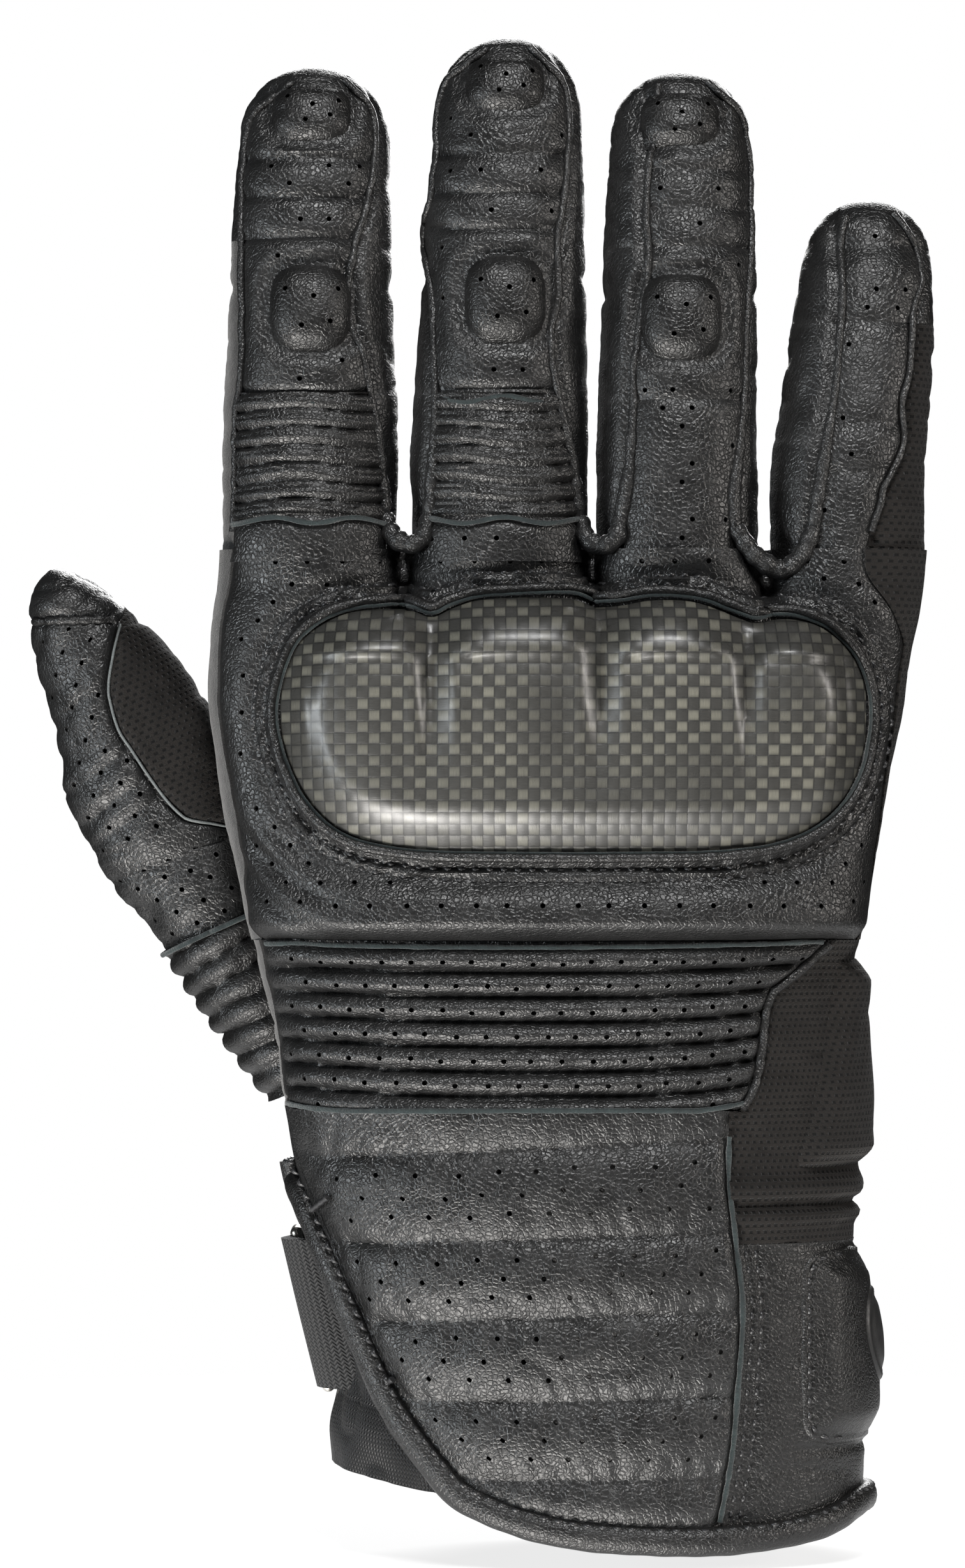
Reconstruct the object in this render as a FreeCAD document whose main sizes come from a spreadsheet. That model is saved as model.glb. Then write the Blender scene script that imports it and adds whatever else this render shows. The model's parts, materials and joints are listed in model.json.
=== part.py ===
"""Right-hand riding glove, parametric.

The glove stands on its cuff: +Z runs to the fingertips, -Y is the back of the hand, +Y the palm,
-X the thumb side. The origin lies on the forearm's axis in the plane of the cuff's mouth.
Soft pieces are shells of lofted tubes. A tube that bends has a slot across its back and a wedge
cut from its palm side at each joint, where the leather would gather, so its pieces never meet.
"""
import FreeCAD, Part
import os
import Sketcher
from FreeCAD import Placement, Rotation, Vector

doc = FreeCAD.newDocument("riding_glove")
sheet = doc.addObject("Spreadsheet::Sheet", "Size")

# Driving dimensions, in millimetres and degrees.
DIMENSIONS = {
    # leather and gaps
    "wall": 1.6,
    "finger_wall": 1.5,
    "clearance": 0.25,
    "slot": 0.3,
    "wedge_reach": 30,
    "far": 90,
    "overlap": 0.01,
    "spare": 5,
    # palm-side wedge half angles, a little over half of each joint's travel
    "knuckle_wedge": 30.6,
    "middle_wedge": 38.2,
    "tip_wedge": 19.6,
    "thumb_base_wedge": 15.6,
    "thumb_tip_wedge": 25.6,
    # fingers: x at root and tip, top, hinge heights, half widths
    "root_z": 164.9,
    "index_root_x": -42.0, "index_tip_x": -41.3, "index_top": 247.0,
    "index_knuckle_z": 177.0, "index_middle_z": 205.0, "index_end_z": 226.0,
    "index_root_half": 15.0, "index_middle_half": 13.9, "index_tip_half": 12.6,
    "middle_root_x": -10.6, "middle_tip_x": -8.4, "middle_top": 252.0,
    "middle_knuckle_z": 177.0, "middle_middle_z": 206.5, "middle_end_z": 229.0,
    "middle_root_half": 15.2, "middle_middle_half": 13.9, "middle_tip_half": 12.4,
    "ring_root_x": 19.3, "ring_tip_x": 20.4, "ring_top": 246.2,
    "ring_knuckle_z": 176.5, "ring_middle_z": 203.6, "ring_end_z": 224.5,
    "ring_root_half": 13.8, "ring_middle_half": 13.2, "ring_tip_half": 11.8,
    "little_root_x": 47.0, "little_tip_x": 52.6, "little_top": 224.7,
    "little_knuckle_z": 173.5, "little_middle_z": 193.0, "little_end_z": 209.5,
    "little_root_half": 13.2, "little_middle_half": 12.7, "little_tip_half": 10.6,
    # fingers: half depths, how far each bows towards the palm, slimness of each finger
    "finger_root_depth": 13.4, "finger_middle_depth": 11.6, "finger_tip_depth": 9.8,
    "bow_root": 0.5, "bow_knuckle": 1.0, "bow_middle": 3.0, "bow_end": 6.0, "bow_tip": 9.6,
    "index_girth": 1.0, "middle_girth": 1.0, "ring_girth": 0.98, "little_girth": 0.88,
    "knuckle_taper": 0.985,
    # fingertips: three levels below the top, with the share of the tip's size left at each
    "dome_low": 8.5, "dome_middle": 3.0, "dome_high": 0.4,
    "dome_low_share": 0.92, "dome_middle_share": 0.67, "dome_high_share": 0.25,
    # raised pads on the fingers
    "pad_rise": 2.4, "pad_width": 13.0, "pad_corner": 3.6, "pad_shift": 0.6,
    "middle_pad_height": 14.0, "tip_pad_height": 9.0, "tip_pad_below_top": 8.8,
    # stretch ribs over the index and middle finger roots
    "rib_low": 170.0, "rib_high": 191.0, "rib_pitch": 3.2, "rib_rise": 1.5, "rib_groove": 0.9,
    "rib_inset": 1.2, "rib_floor": 0.6, "rib_edge_y": -3.0, "groove_edge_y": -2.0,
    # web welts between the fingers
    "welt_radius": 1.2, "welt_bend": 3.0, "welt_y": -9.0, "welt_z": 169.4,
    "index_web_x": -26.0, "middle_web_x": 5.4, "ring_web_x": 33.4,
    # hand: half depth and edges at five heights
    "hand_low": 100.3, "hand_heel": 120.0, "hand_waist": 140.0, "hand_top": 155.0,
    "hand_rim": 164.5,
    "hand_low_left": -51.5, "hand_low_right": 50.0, "hand_low_depth": 22.0,
    "hand_heel_left": -55.9, "hand_heel_right": 53.6, "hand_heel_depth": 22.0,
    "hand_waist_left": -59.0, "hand_waist_right": 57.2, "hand_waist_depth": 19.5,
    "hand_top_left": -58.4, "hand_top_right": 59.6, "hand_top_depth": 17.0,
    "hand_rim_left": -57.2, "hand_rim_right": 59.6, "hand_rim_depth": 14.6,
    "side_roundness": 0.9, "band_front": -5.0, "band_back": 7.0,
    # knuckle guard
    "guard_left": -46.8, "guard_right": 50.5, "guard_low": 114.8, "guard_high": 156.6,
    "guard_corner": 17.0, "guard_thickness": 2.2, "guard_rise": 3.0, "guard_rim": 2.4,
    "rim_rise": 2.1,
    "bump_z": 140.0, "bump_y": -16.0, "bump_depth": 13.0, "bump_half_height": 15.5,
    "index_bump_x": -33.5, "middle_bump_x": -7.5, "ring_bump_x": 18.5, "little_bump_x": 41.0,
    "index_bump_half": 13.0, "middle_bump_half": 13.5, "ring_bump_half": 12.0,
    "little_bump_half": 10.0,
    # heel pad on the palm
    "heel_pad_left": -12.0, "heel_pad_right": 36.0, "heel_pad_low": 103.0,
    "heel_pad_high": 129.0, "heel_pad_face": 25.5, "heel_pad_corner": 6.0,
    # thumb: start of its axis, lean to the left, stations along it
    "thumb_x": -57.0, "thumb_y": 12.0, "thumb_z": 100.0, "thumb_lean": 23.9,
    "thumb_heel": -30.0, "thumb_start": -12.0, "thumb_hinge": 5.0, "thumb_joint": 36.0,
    "thumb_length": 67.6, "thumb_heel_half": 7.5, "thumb_heel_depth": 6.9, "thumb_wide": 16.0,
    "thumb_root_half": 11.5, "thumb_wide_half": 14.0, "thumb_joint_half": 13.0,
    "thumb_tip_half": 11.4, "thumb_root_depth": 10.5, "thumb_joint_depth": 11.5,
    "thumb_tip_depth": 9.6, "thumb_swell": 1.05,
    # thumb tip: four levels below the top, with the share of the tip's size left at each
    "cap_start": 13.0, "cap_low": 7.0, "cap_middle": 2.4, "cap_high": 0.4,
    "cap_low_share": 0.84, "cap_middle_share": 0.54, "cap_high_share": 0.25,
    # plane that parts the thumb's heel from the wrist
    "heel_plane_x": -47.0, "heel_plane_lean": 10.4,
    # mesh sheet between thumb and hand
    "gusset_y": 7.0, "gusset_thickness": 1.6, "gusset_at": 26.0, "gusset_inset": 4.0,
    "gusset_drop": 10.0, "gusset_width": 20.0, "gusset_height": 26.0, "gusset_lean": 33.9,
    # wrist
    "wrist_low": 72.6, "wrist_mid": 86.0, "wrist_high": 99.9,
    "wrist_low_x": 1.8, "wrist_low_half": 48.0, "wrist_low_depth": 22.5,
    "wrist_mid_x": 0.3, "wrist_mid_half": 48.4, "wrist_mid_depth": 21.0,
    "wrist_high_x": -0.8, "wrist_high_half": 50.4, "wrist_high_depth": 21.6,
    "accordion_right": 33.0, "accordion_pitch": 3.8, "accordion_rise": 1.8,
    "accordion_groove": 0.9,
    # cuff
    "cuff_mouth": 0.0, "cuff_low": 25.0, "cuff_strap": 50.0, "cuff_high": 72.3,
    "cuff_mouth_x": 8.0, "cuff_mouth_half": 42.0, "cuff_mouth_depth": 25.0,
    "cuff_low_x": 7.2, "cuff_low_half": 44.0, "cuff_low_depth": 25.0,
    "cuff_strap_x": 3.6, "cuff_strap_half": 45.4, "cuff_strap_depth": 24.5,
    "cuff_high_x": 1.8, "cuff_high_half": 48.0, "cuff_high_depth": 22.6,
    "binding_height": 4.5, "binding_rise": 1.3, "binding_depth": 2.9,
    "slant_x": -46.0, "slant_z": 61.0, "slant_lean": 26.0,
    "back_panel_right": 27.3, "closure_left": 27.9, "closure_top": 50.6, "closure_back": 12.0,
    "pad_left": 39.4, "pad_low": 17.4, "pad_high": 49.6, "pad_back": 10.0, "closure_pad_rise": 1.8,
    "badge_y": -1.0, "badge_z": 34.8, "badge_radius": 8.6, "badge_rise": 0.9,
    "wrist_pad_left": 40.0, "wrist_pad_low": 63.0, "wrist_pad_high": 84.0,
    "wrist_pad_rise": 2.2,
    "inner_cuff_low": 9.0, "inner_cuff_high": 60.0, "inner_cuff_gap": 2.3,
    "inner_cuff_wall": 1.0, "inner_cuff_right": -6.0,
    # strap, ring and cuff flap
    "strap_low": 28.0, "strap_high": 49.0, "strap_left": -33.0, "strap_right": -6.0,
    "strap_wall": 1.1, "tape_wall": 0.6, "layer_gap": 0.1, "tape_inset": 3.0, "strap_front": 6.0,
    "webbing_low": 26.4, "webbing_high": 50.8, "webbing_gap": 0.3, "webbing_right": -20.0,
    "webbing_front": -18.0,
    "ring_x": -41.4, "ring_y": 5.0, "ring_z": 38.4, "ring_lean": 11.7, "ring_wire": 1.1,
    "ring_half_height": 13.0, "ring_half_width": 3.2,
    "flap_left": -3.0, "flap_right": 40.0, "flap_low": 6.0, "flap_high": 47.0,
}

RIBS = 7
PARTS = []


def fill_sheet():
    for row, (alias, value) in enumerate(DIMENSIONS.items(), 1):
        sheet.set(f"A{row}", alias)
        sheet.set(f"B{row}", str(value))
        sheet.setAlias(f"B{row}", alias)


def size(*names):
    """Sheet references for a run of names, such as size("wall") -> "Size.wall"."""
    found = [f"Size.{name}" for name in names]
    return found[0] if len(found) == 1 else found


def bind(thing, **formulas):
    for name, formula in formulas.items():
        thing.setExpression(name, str(formula))


def place(thing, x=0, y=0, z=0, lean=None):
    """Bind a placement: a position, and a lean to the left about the Y axis."""
    if lean is not None:
        thing.Placement = Placement(Vector(), Rotation(Vector(0, -1, 0), 10))
        thing.setExpression("Placement.Rotation.Angle", str(lean))
    for axis, formula in zip("xyz", (x, y, z)):
        thing.setExpression(f"Placement.Base.{axis}", str(formula))
    return thing


def node(thing, name):
    """Register a finished piece under the name of its file."""
    thing.Label = name
    PARTS.append(thing)
    return thing


# ---------------------------------------------------------------- primitives and booleans


def block(name, x, y, z):
    """A box between the low and high formulas of each axis."""
    box = doc.addObject("Part::Box", name)
    bind(box, Length=f"({x[1]}) - ({x[0]})", Width=f"({y[1]}) - ({y[0]})",
         Height=f"({z[1]}) - ({z[0]})")
    return place(box, x[0], y[0], z[0])


def cut(name, base, tool):
    result = doc.addObject("Part::Cut", name)
    result.Base = base
    result.Tool = tool
    return result


def common(name, base, tool):
    result = doc.addObject("Part::Common", name)
    result.Base = base
    result.Tool = tool
    return result


def fuse(name, *shapes):
    result = doc.addObject("Part::MultiFuse", name)
    result.Shapes = list(shapes)
    return result


def rounded_outline(name, half_x, half_y, radius):
    """A closed sketch: a rectangle about its own origin with four equal round corners."""
    sketch = doc.addObject("Sketcher::SketchObject", name)
    wide, deep, r = 50.0, 20.0, 8.0
    up = Vector(0, 0, 1)
    corners = ((wide - r, r - deep, -90), (wide - r, deep - r, 0), (r - wide, deep - r, 90),
               (r - wide, r - deep, 180))
    lines = (((r - wide, -deep), (wide - r, -deep)), ((wide, r - deep), (wide, deep - r)),
             ((wide - r, deep), (r - wide, deep)), ((-wide, deep - r), (-wide, r - deep)))
    for start, end in lines:
        sketch.addGeometry(Part.LineSegment(Vector(*start), Vector(*end)), False)
    for x, y, start in corners:
        circle = Part.Circle(Vector(x, y), up, r)
        first = FreeCAD.Units.Quantity(start, FreeCAD.Units.Angle).getValueAs("rad").Value
        quarter = FreeCAD.Units.Quantity(90, FreeCAD.Units.Angle).getValueAs("rad").Value
        sketch.addGeometry(Part.ArcOfCircle(circle, first, first + quarter), False)
    rules = []
    for side in range(4):
        corner = 4 + side
        rules.append(Sketcher.Constraint("Tangent", side, 2, corner, 1))
        rules.append(Sketcher.Constraint("Tangent", corner, 2, (side + 1) % 4, 1))
        rules.append(Sketcher.Constraint("Horizontal" if side % 2 == 0 else "Vertical", side))
    for corner in (5, 6, 7):
        rules.append(Sketcher.Constraint("Equal", 4, corner))
    sketch.addConstraint(rules)
    sized = (
        ("corner", Sketcher.Constraint("Radius", 4, r), radius),
        ("right", Sketcher.Constraint("DistanceX", -1, 1, 1, 1, wide), half_x),
        ("left", Sketcher.Constraint("DistanceX", 3, 1, -1, 1, wide), half_x),
        ("front", Sketcher.Constraint("DistanceY", 0, 1, -1, 1, deep), half_y),
        ("back", Sketcher.Constraint("DistanceY", -1, 1, 2, 1, deep), half_y),
    )
    for title, rule, formula in sized:
        number = sketch.addConstraint(rule)
        sketch.renameConstraint(number, title)
        sketch.setExpression(f"Constraints.{title}", str(formula))
    return sketch


def raised_prism(name, outline, length, x, y, z):
    """The outline stood up in the XZ plane at (x, y, z) and drawn towards the back of the hand."""
    prism = doc.addObject("Part::Extrusion", name)
    prism.Base = outline
    prism.DirMode = "Custom"
    prism.Dir = Vector(0, 0, 1)
    prism.Solid = True
    bind(prism, LengthFwd=length)
    prism.Placement = Placement(Vector(), Rotation(Vector(1, 0, 0), 90))
    return place(prism, x, y, z)


class Tube:
    """A lofted tube. Each station is (x, y, z, half_x, half_y, rise), all formulas but rise.

    skin(grow) is its solid swollen by grow; a station with rise 1 also moves up by grow.
    """

    def __init__(self, name, stations, square=False, lean=None):
        self.name = name
        self.stations = stations
        self.square = square
        self.lean = lean
        self.skins = {}

    def section(self, title, station, grow):
        x, y, z, half_x, half_y, rise = station
        wide = f"{half_x} + ({grow})"
        deep = f"{half_y} + ({grow})"
        if self.square:
            curve = rounded_outline(title, wide, deep, f"({deep}) * {size('side_roundness')}")
        else:
            curve = doc.addObject("Part::Ellipse", title)
            bind(curve, MajorRadius=wide, MinorRadius=deep)
        height = f"{z} + ({grow})" if rise else z
        return place(curve, x, y, height, self.lean)

    def skin(self, grow="0"):
        if grow not in self.skins:
            title = f"{self.name}_skin_{len(self.skins)}"
            solid = doc.addObject("Part::Loft", title)
            solid.Sections = [
                self.section(f"{title}_{number}", station, grow)
                for number, station in enumerate(self.stations)
            ]
            solid.Solid = True
            solid.Ruled = True
            self.skins[grow] = solid
        return self.skins[grow]

    def layer(self, name, low, high):
        """The shell between two amounts of swelling."""
        return cut(name, self.skin(high), self.skin(low))


# ---------------------------------------------------------------- joints in a tube


def relief(name, angle, x, y, z, lean=None):
    """The gap at a hinge: a thin slot across the back and a wedge open to the palm."""
    reach = size("wedge_reach")
    gap = size("slot")
    slot = block(f"{name}_slot", (f"-{reach}", reach), (f"-{reach}", size("overlap")),
                 (f"-{gap}", gap))
    wedge = doc.addObject("Part::Wedge", f"{name}_wedge")
    flare = f"({gap} + {reach} * tan({angle} * 1 deg))"
    bind(wedge, Xmin=f"-{reach}", Xmax=reach, X2min=f"-{reach}", X2max=reach,
         Ymin="0", Ymax=reach, Zmin=f"-{gap}", Zmax=gap, Z2min=f"-{flare}", Z2max=flare)
    return place(fuse(name, slot, wedge), x, y, z, lean)


# ---------------------------------------------------------------- fingers


def finger_tube(finger):
    def own(name):
        return size(f"{finger}_{name}")

    low, top = size("root_z"), own("top")
    root, tip, girth = own("root_x"), own("tip_x"), own("girth")
    half_root, half_mid, half_tip = own("root_half"), own("middle_half"), own("tip_half")
    deep_root, deep_mid, deep_tip = size("finger_root_depth", "finger_middle_depth",
                                         "finger_tip_depth")

    def station(z, half, deep, bow, rise=0):
        x = f"{root} + ({tip} - {root}) * ({z} - {low}) / ({top} - {low})"
        return (x, size(bow), z, half, f"{deep} * {girth}", rise)

    def dome(level, rise=0):
        drop, share = size(level, f"{level}_share")
        return station(f"({top} - {drop})", f"{half_tip} * {share}", f"{deep_tip} * {share}",
                       "bow_tip", rise)

    return Tube(finger, (
        station(low, half_root, deep_root, "bow_root"),
        station(own("knuckle_z"), f"{half_root} * {size('knuckle_taper')}", deep_root,
                "bow_knuckle"),
        station(own("middle_z"), half_mid, deep_mid, "bow_middle"),
        station(own("end_z"), f"({half_mid} + {half_tip}) / 2", f"({deep_mid} + {deep_tip}) / 2",
                "bow_end"),
        dome("dome_low"), dome("dome_middle"), dome("dome_high", 1),
    ))


def finger_pieces(finger, tube):
    """The finger's skin, parted at its three hinges. Returns the root, which the hand keeps."""
    hinges = (("knuckle", "knuckle_z", "bow_knuckle"), ("middle", "middle_z", "bow_middle"),
              ("tip", "end_z", "bow_end"))
    x = f"({size(finger + '_root_x')} + {size(finger + '_tip_x')}) / 2"
    skin = tube.layer(f"{finger}_skin", f"-{size('finger_wall')}", "0")
    for title, height, bow in hinges:
        gap = relief(f"{finger}_{title}_gap", size(f"{title}_wedge"), x, size(bow),
                     size(f"{finger}_{height}"))
        skin = cut(f"{finger}_{title}_parted", skin, gap)
    side, spare = size("wedge_reach", "spare")
    levels = [f"{size('root_z')} - {spare}"]
    levels += [size(f"{finger}_{height}") for title, height, bow in hinges]
    levels.append(f"{size(finger + '_top')} + {spare}")
    pieces = []
    for number, title in enumerate(("root", "base", "mid", "tip")):
        zone = block(f"{finger}_{title}_zone", (f"{x} - {side}", f"{x} + {side}"),
                     (f"-{side}", side), (levels[number], levels[number + 1]))
        pieces.append(common(f"{finger}_{title}", skin, zone))
    for piece, title in zip(pieces[1:], ("base", "mid", "tip")):
        node(piece, f"{finger}_{title}")
    return pieces[0]


def finger_pad(finger, tube, title, height, middle, rise):
    """A domed pad on the finger's back: a rounded outline pushed into the swollen skin."""
    outline = rounded_outline(f"{finger}_{title}_outline", f"{size('pad_width')} / 2",
                              f"{height} / 2", size("pad_corner"))
    root, tip, shift = size(f"{finger}_root_x", f"{finger}_tip_x", "pad_shift")
    prism = raised_prism(f"{finger}_{title}_prism", outline, size("wedge_reach"),
                         f"{root} + ({tip} - {root}) * {shift}", "0", middle)
    shell = tube.layer(f"{finger}_{title}_layer", size("clearance"), rise)
    node(common(f"{finger}_{title}_shape", shell, prism), f"{finger}_{title}")


def stretch_ribs(finger, tube):
    """A ribbed panel over the finger's root that opens when the finger bends."""
    low, high, pitch, rise = size("rib_low", "rib_high", "rib_pitch", "rib_rise")
    half = size("rib_groove") + " / 2"
    reach = size("wedge_reach")
    x = size(f"{finger}_root_x")
    side = f"({size(finger + '_root_half')} - {size('rib_inset')})"
    zone = block(f"{finger}_rib_zone", (f"{x} - {side}", f"{x} + {side}"),
                 (f"-{reach}", size("rib_edge_y")), (low, high))
    panel = common(f"{finger}_rib_panel", tube.layer(f"{finger}_rib_layer", size("clearance"),
                                                     rise), zone)
    grooves = []
    for number in range(1, RIBS):
        z = f"{low} + {pitch} * {number}"
        grooves.append(block(f"{finger}_groove_{number}", (f"{x} - {reach}", f"{x} + {reach}"),
                             (f"-{reach}", size("groove_edge_y")),
                             (f"{z} - {half}", f"{z} + {half}")))
    outside = cut(f"{finger}_grooves", fuse(f"{finger}_groove_set", *grooves),
                  tube.skin(f"{size('clearance')} + {size('rib_floor')}"))
    node(cut(f"{finger}_rib_shape", panel, outside), f"{finger}_stretch_ribs")


def make_fingers():
    roots = []
    for finger in ("index", "middle", "ring", "little"):
        tube = finger_tube(finger)
        roots.append(finger_pieces(finger, tube))
        if finger == "little":
            continue
        rise = size("pad_rise")
        finger_pad(finger, tube, "middle_pad", size("middle_pad_height"),
                   size(f"{finger}_middle_z"), rise)
        finger_pad(finger, tube, "tip_pad", size("tip_pad_height"),
                   f"{size(finger + '_top')} - {size('tip_pad_below_top')}", rise)
        if finger != "ring":
            stretch_ribs(finger, tube)
    group = doc.addObject("Part::Compound", "root_group")
    group.Links = roots
    node(group, "finger_roots")
    welts = []
    for finger in ("index", "middle", "ring"):
        ring = doc.addObject("Part::Torus", f"{finger}_welt")
        bind(ring, Radius1=size("welt_bend"), Radius2=size("welt_radius"))
        ring.Angle3 = 180
        ring.Placement = Placement(Vector(), Rotation(Vector(1, 0, 0), -90))
        welts.append(place(ring, size(f"{finger}_web_x"), size("welt_y"), size("welt_z")))
    group = doc.addObject("Part::Compound", "welt_group")
    group.Links = welts
    node(group, "finger_web_welts")


# ---------------------------------------------------------------- hand


def hand_tube():
    def station(level):
        left, right, deep = size(f"{level}_left", f"{level}_right", f"{level}_depth")
        return (f"({left} + {right}) / 2", "0", size(level), f"({right} - {left}) / 2", deep, 0)

    levels = ("hand_low", "hand_heel", "hand_waist", "hand_top", "hand_rim")
    return Tube("hand", [station(level) for level in levels], square=True)


def sectors(name, skin, levels):
    """Part a tube into back, palm, left band and right band. Returns the four pieces."""
    far, clear = size("far", "clearance")
    front, back = size("band_front", "band_back")
    zones = (
        ("back", (f"-{far}", far), (f"-{far}", f"{front} - {clear}")),
        ("palm", (f"-{far}", far), (f"{back} + {clear}", far)),
        ("left", (f"-{far}", "0"), (front, back)),
        ("right", ("0", far), (front, back)),
    )
    return [common(f"{name}_{title}", skin, block(f"{name}_{title}_zone", x, y, levels))
            for title, x, y in zones]


def make_hand(hand, thumb):
    skin = hand.layer("hand_skin", f"-{size('wall')}", "0")
    skin = cut("hand_skin_open", skin, thumb.skin(f"-{size('wall')}"))
    back, palm, left, right = sectors("hand", skin, (size("hand_low"), size("hand_rim")))
    node(back, "hand_back_panel")
    node(palm, "hand_palm_panel")
    node(left, "suede_edge_strip")
    node(right, "ulnar_mesh_panel")


def guard_prism(name, grow):
    """The knuckle guard's outline, swollen by grow, as a prism through the back of the hand."""
    left, right, low, high = size("guard_left", "guard_right", "guard_low", "guard_high")
    outline = rounded_outline(f"{name}_outline", f"({right} - {left}) / 2 + ({grow})",
                              f"({high} - {low}) / 2 + ({grow})",
                              f"{size('guard_corner')} + ({grow})")
    return raised_prism(name, outline, size("far"), f"({left} + {right}) / 2", "0",
                        f"({low} + {high}) / 2")


def guard_form(name, hand, shrink):
    """Four knuckle bumps on a swollen hand, all drawn in by shrink."""
    shapes = [hand.skin(f"{size('guard_rise')} - ({shrink})")]
    for finger in ("index", "middle", "ring", "little"):
        bump = doc.addObject("Part::Ellipsoid", f"{name}_{finger}")
        bind(bump, Radius1=f"{size('bump_half_height')} - ({shrink})",
             Radius2=f"{size(finger + '_bump_half')} - ({shrink})",
             Radius3=f"{size('bump_depth')} - ({shrink})")
        bump.Placement = Placement(Vector(), Rotation(Vector(0, 0, 1), 0))
        place(bump, size(f"{finger}_bump_x"), size("bump_y"), size("bump_z"))
        shapes.append(bump)
    return fuse(name, *shapes)


def make_guard(hand):
    clear, thick = size("clearance", "guard_thickness")
    over_hand = hand.skin(clear)
    outer = common("guard_outer", guard_form("guard_form", hand, "0"),
                   guard_prism("guard_prism", "0"))
    hollow = common("guard_hollow", guard_form("guard_hollow_form", hand, thick),
                    guard_prism("guard_hollow_prism", f"-{thick}"))
    shell = cut("guard_shell", outer, hollow)
    node(cut("guard_shell_seated", shell, over_hand), "knuckle_shell")
    core = common("guard_core", guard_form("guard_core_form", hand, f"{thick} + {clear}"),
                  guard_prism("guard_core_prism", f"-({thick} + {clear})"))
    node(cut("guard_core_seated", core, over_hand), "knuckle_foam")
    ring = cut("rim_ring", guard_prism("rim_outer", size("guard_rim")),
               guard_prism("rim_inner", clear))
    layer = hand.layer("rim_layer", clear, size("rim_rise"))
    node(common("rim_shape", layer, ring), "knuckle_rim")


def make_heel_pad():
    """A flat-faced pad sewn on the heel of the palm."""
    left, right, low, high = size("heel_pad_left", "heel_pad_right", "heel_pad_low",
                                  "heel_pad_high")
    outline = rounded_outline("heel_outline", f"({right} - {left}) / 2", f"({high} - {low}) / 2",
                              size("heel_pad_corner"))
    face, depth, clear = size("heel_pad_face", "hand_heel_depth", "clearance")
    node(raised_prism("heel_prism", outline, f"{face} - {depth} - {clear}",
                      f"({left} + {right}) / 2", face, f"({low} + {high}) / 2"),
         "palm_heel_pad")


# ---------------------------------------------------------------- thumb


def along_thumb(distance):
    """A point on the thumb's axis, as formulas."""
    lean = size("thumb_lean")
    return (f"{size('thumb_x')} - ({distance}) * sin({lean} * 1 deg)", size("thumb_y"),
            f"{size('thumb_z')} + ({distance}) * cos({lean} * 1 deg)")


def thumb_tube():
    length, swell, tip, tip_depth = size("thumb_length", "thumb_swell", "thumb_tip_half",
                                         "thumb_tip_depth")
    root, root_depth = size("thumb_root_half", "thumb_root_depth")

    def cap(level):
        drop, share = size(level, f"{level}_share")
        return (f"{length} - {drop}", f"{tip} * {share}", f"{tip_depth} * {share}")

    stations = (
        size("thumb_heel", "thumb_heel_half", "thumb_heel_depth"),
        (size("thumb_start"), root, root_depth),
        ("0", f"{root} * {swell}", f"{root_depth} * {swell}"),
        size("thumb_wide", "thumb_wide_half", "thumb_joint_depth"),
        size("thumb_joint", "thumb_joint_half", "thumb_joint_depth"),
        (f"{length} - {size('cap_start')}", tip, tip_depth),
        cap("cap_low"), cap("cap_middle"), cap("cap_high"),
    )
    last = len(stations) - 1
    return Tube("thumb", [(*along_thumb(at), half, deep, int(number == last))
                          for number, (at, half, deep) in enumerate(stations)],
                lean=size("thumb_lean"))


def thumb_zone(name, low, high):
    """The slab of space between two distances along the thumb."""
    reach, lean = size("wedge_reach", "thumb_lean")
    x, y, z = along_thumb(low)
    zone = doc.addObject("Part::Box", name)
    bind(zone, Length=f"2 * {reach}", Width=f"2 * {reach}", Height=f"({high}) - ({low})")
    return place(zone, f"{x} - {reach} * cos({lean} * 1 deg)", f"{y} - {reach}",
                 f"{z} - {reach} * sin({lean} * 1 deg)", lean)


def make_thumb(thumb, hand, wrist):
    start, hinge, joint, length = size("thumb_start", "thumb_hinge", "thumb_joint",
                                       "thumb_length")
    clear, lean = size("clearance", "thumb_lean")
    skin = thumb.layer("thumb_skin", f"-{size('wall')}", "0")
    for title, at in (("base", hinge), ("tip", joint)):
        gap = relief(f"thumb_{title}_gap", size(f"thumb_{title}_wedge"), *along_thumb(at), lean)
        skin = cut(f"thumb_{title}_parted", skin, gap)
    skin = cut("thumb_beside_hand", skin, hand.skin(clear))
    skin = cut("thumb_beside_wrist", skin, wrist.skin(clear))
    zones = (("thumb_root", start, hinge), ("thumb_base", hinge, joint),
             ("thumb_tip", joint, f"{length} + {size('spare')}"))
    for title, low, high in zones:
        zone = thumb_zone(f"{title}_zone", low, high)
        node(common(f"{title}_shape", skin, zone), title)


def make_thumb_heel(thumb):
    """The ribbed panel below the thumb, kept to the thumb's side of a plane beside the wrist."""
    far, clear, lean = size("far", "clearance", "heel_plane_lean")
    skin = thumb.layer("heel_skin", f"-{size('wall')}", "0")
    zone = thumb_zone("heel_slab", size("thumb_heel"), f"{size('thumb_start')} - {clear}")
    side = block("heel_side", (f"-{far}", "0"), (f"-{far}", far), ("0", size("far")))
    place(side, f"{size('heel_plane_x')} - {far} * cos({lean} * 1 deg)", f"-{far}",
          f"{size('wrist_low')} - {far} * sin({lean} * 1 deg)", lean)
    levels = block("heel_levels", (f"-{far}", "0"), (f"-{far}", far),
                   (size("wrist_low"), size("hand_low")))
    part = common("heel_slab_side", zone, common("heel_side_levels", side, levels))
    node(common("heel_shape", skin, part), "thumb_stretch_ribs")


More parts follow.
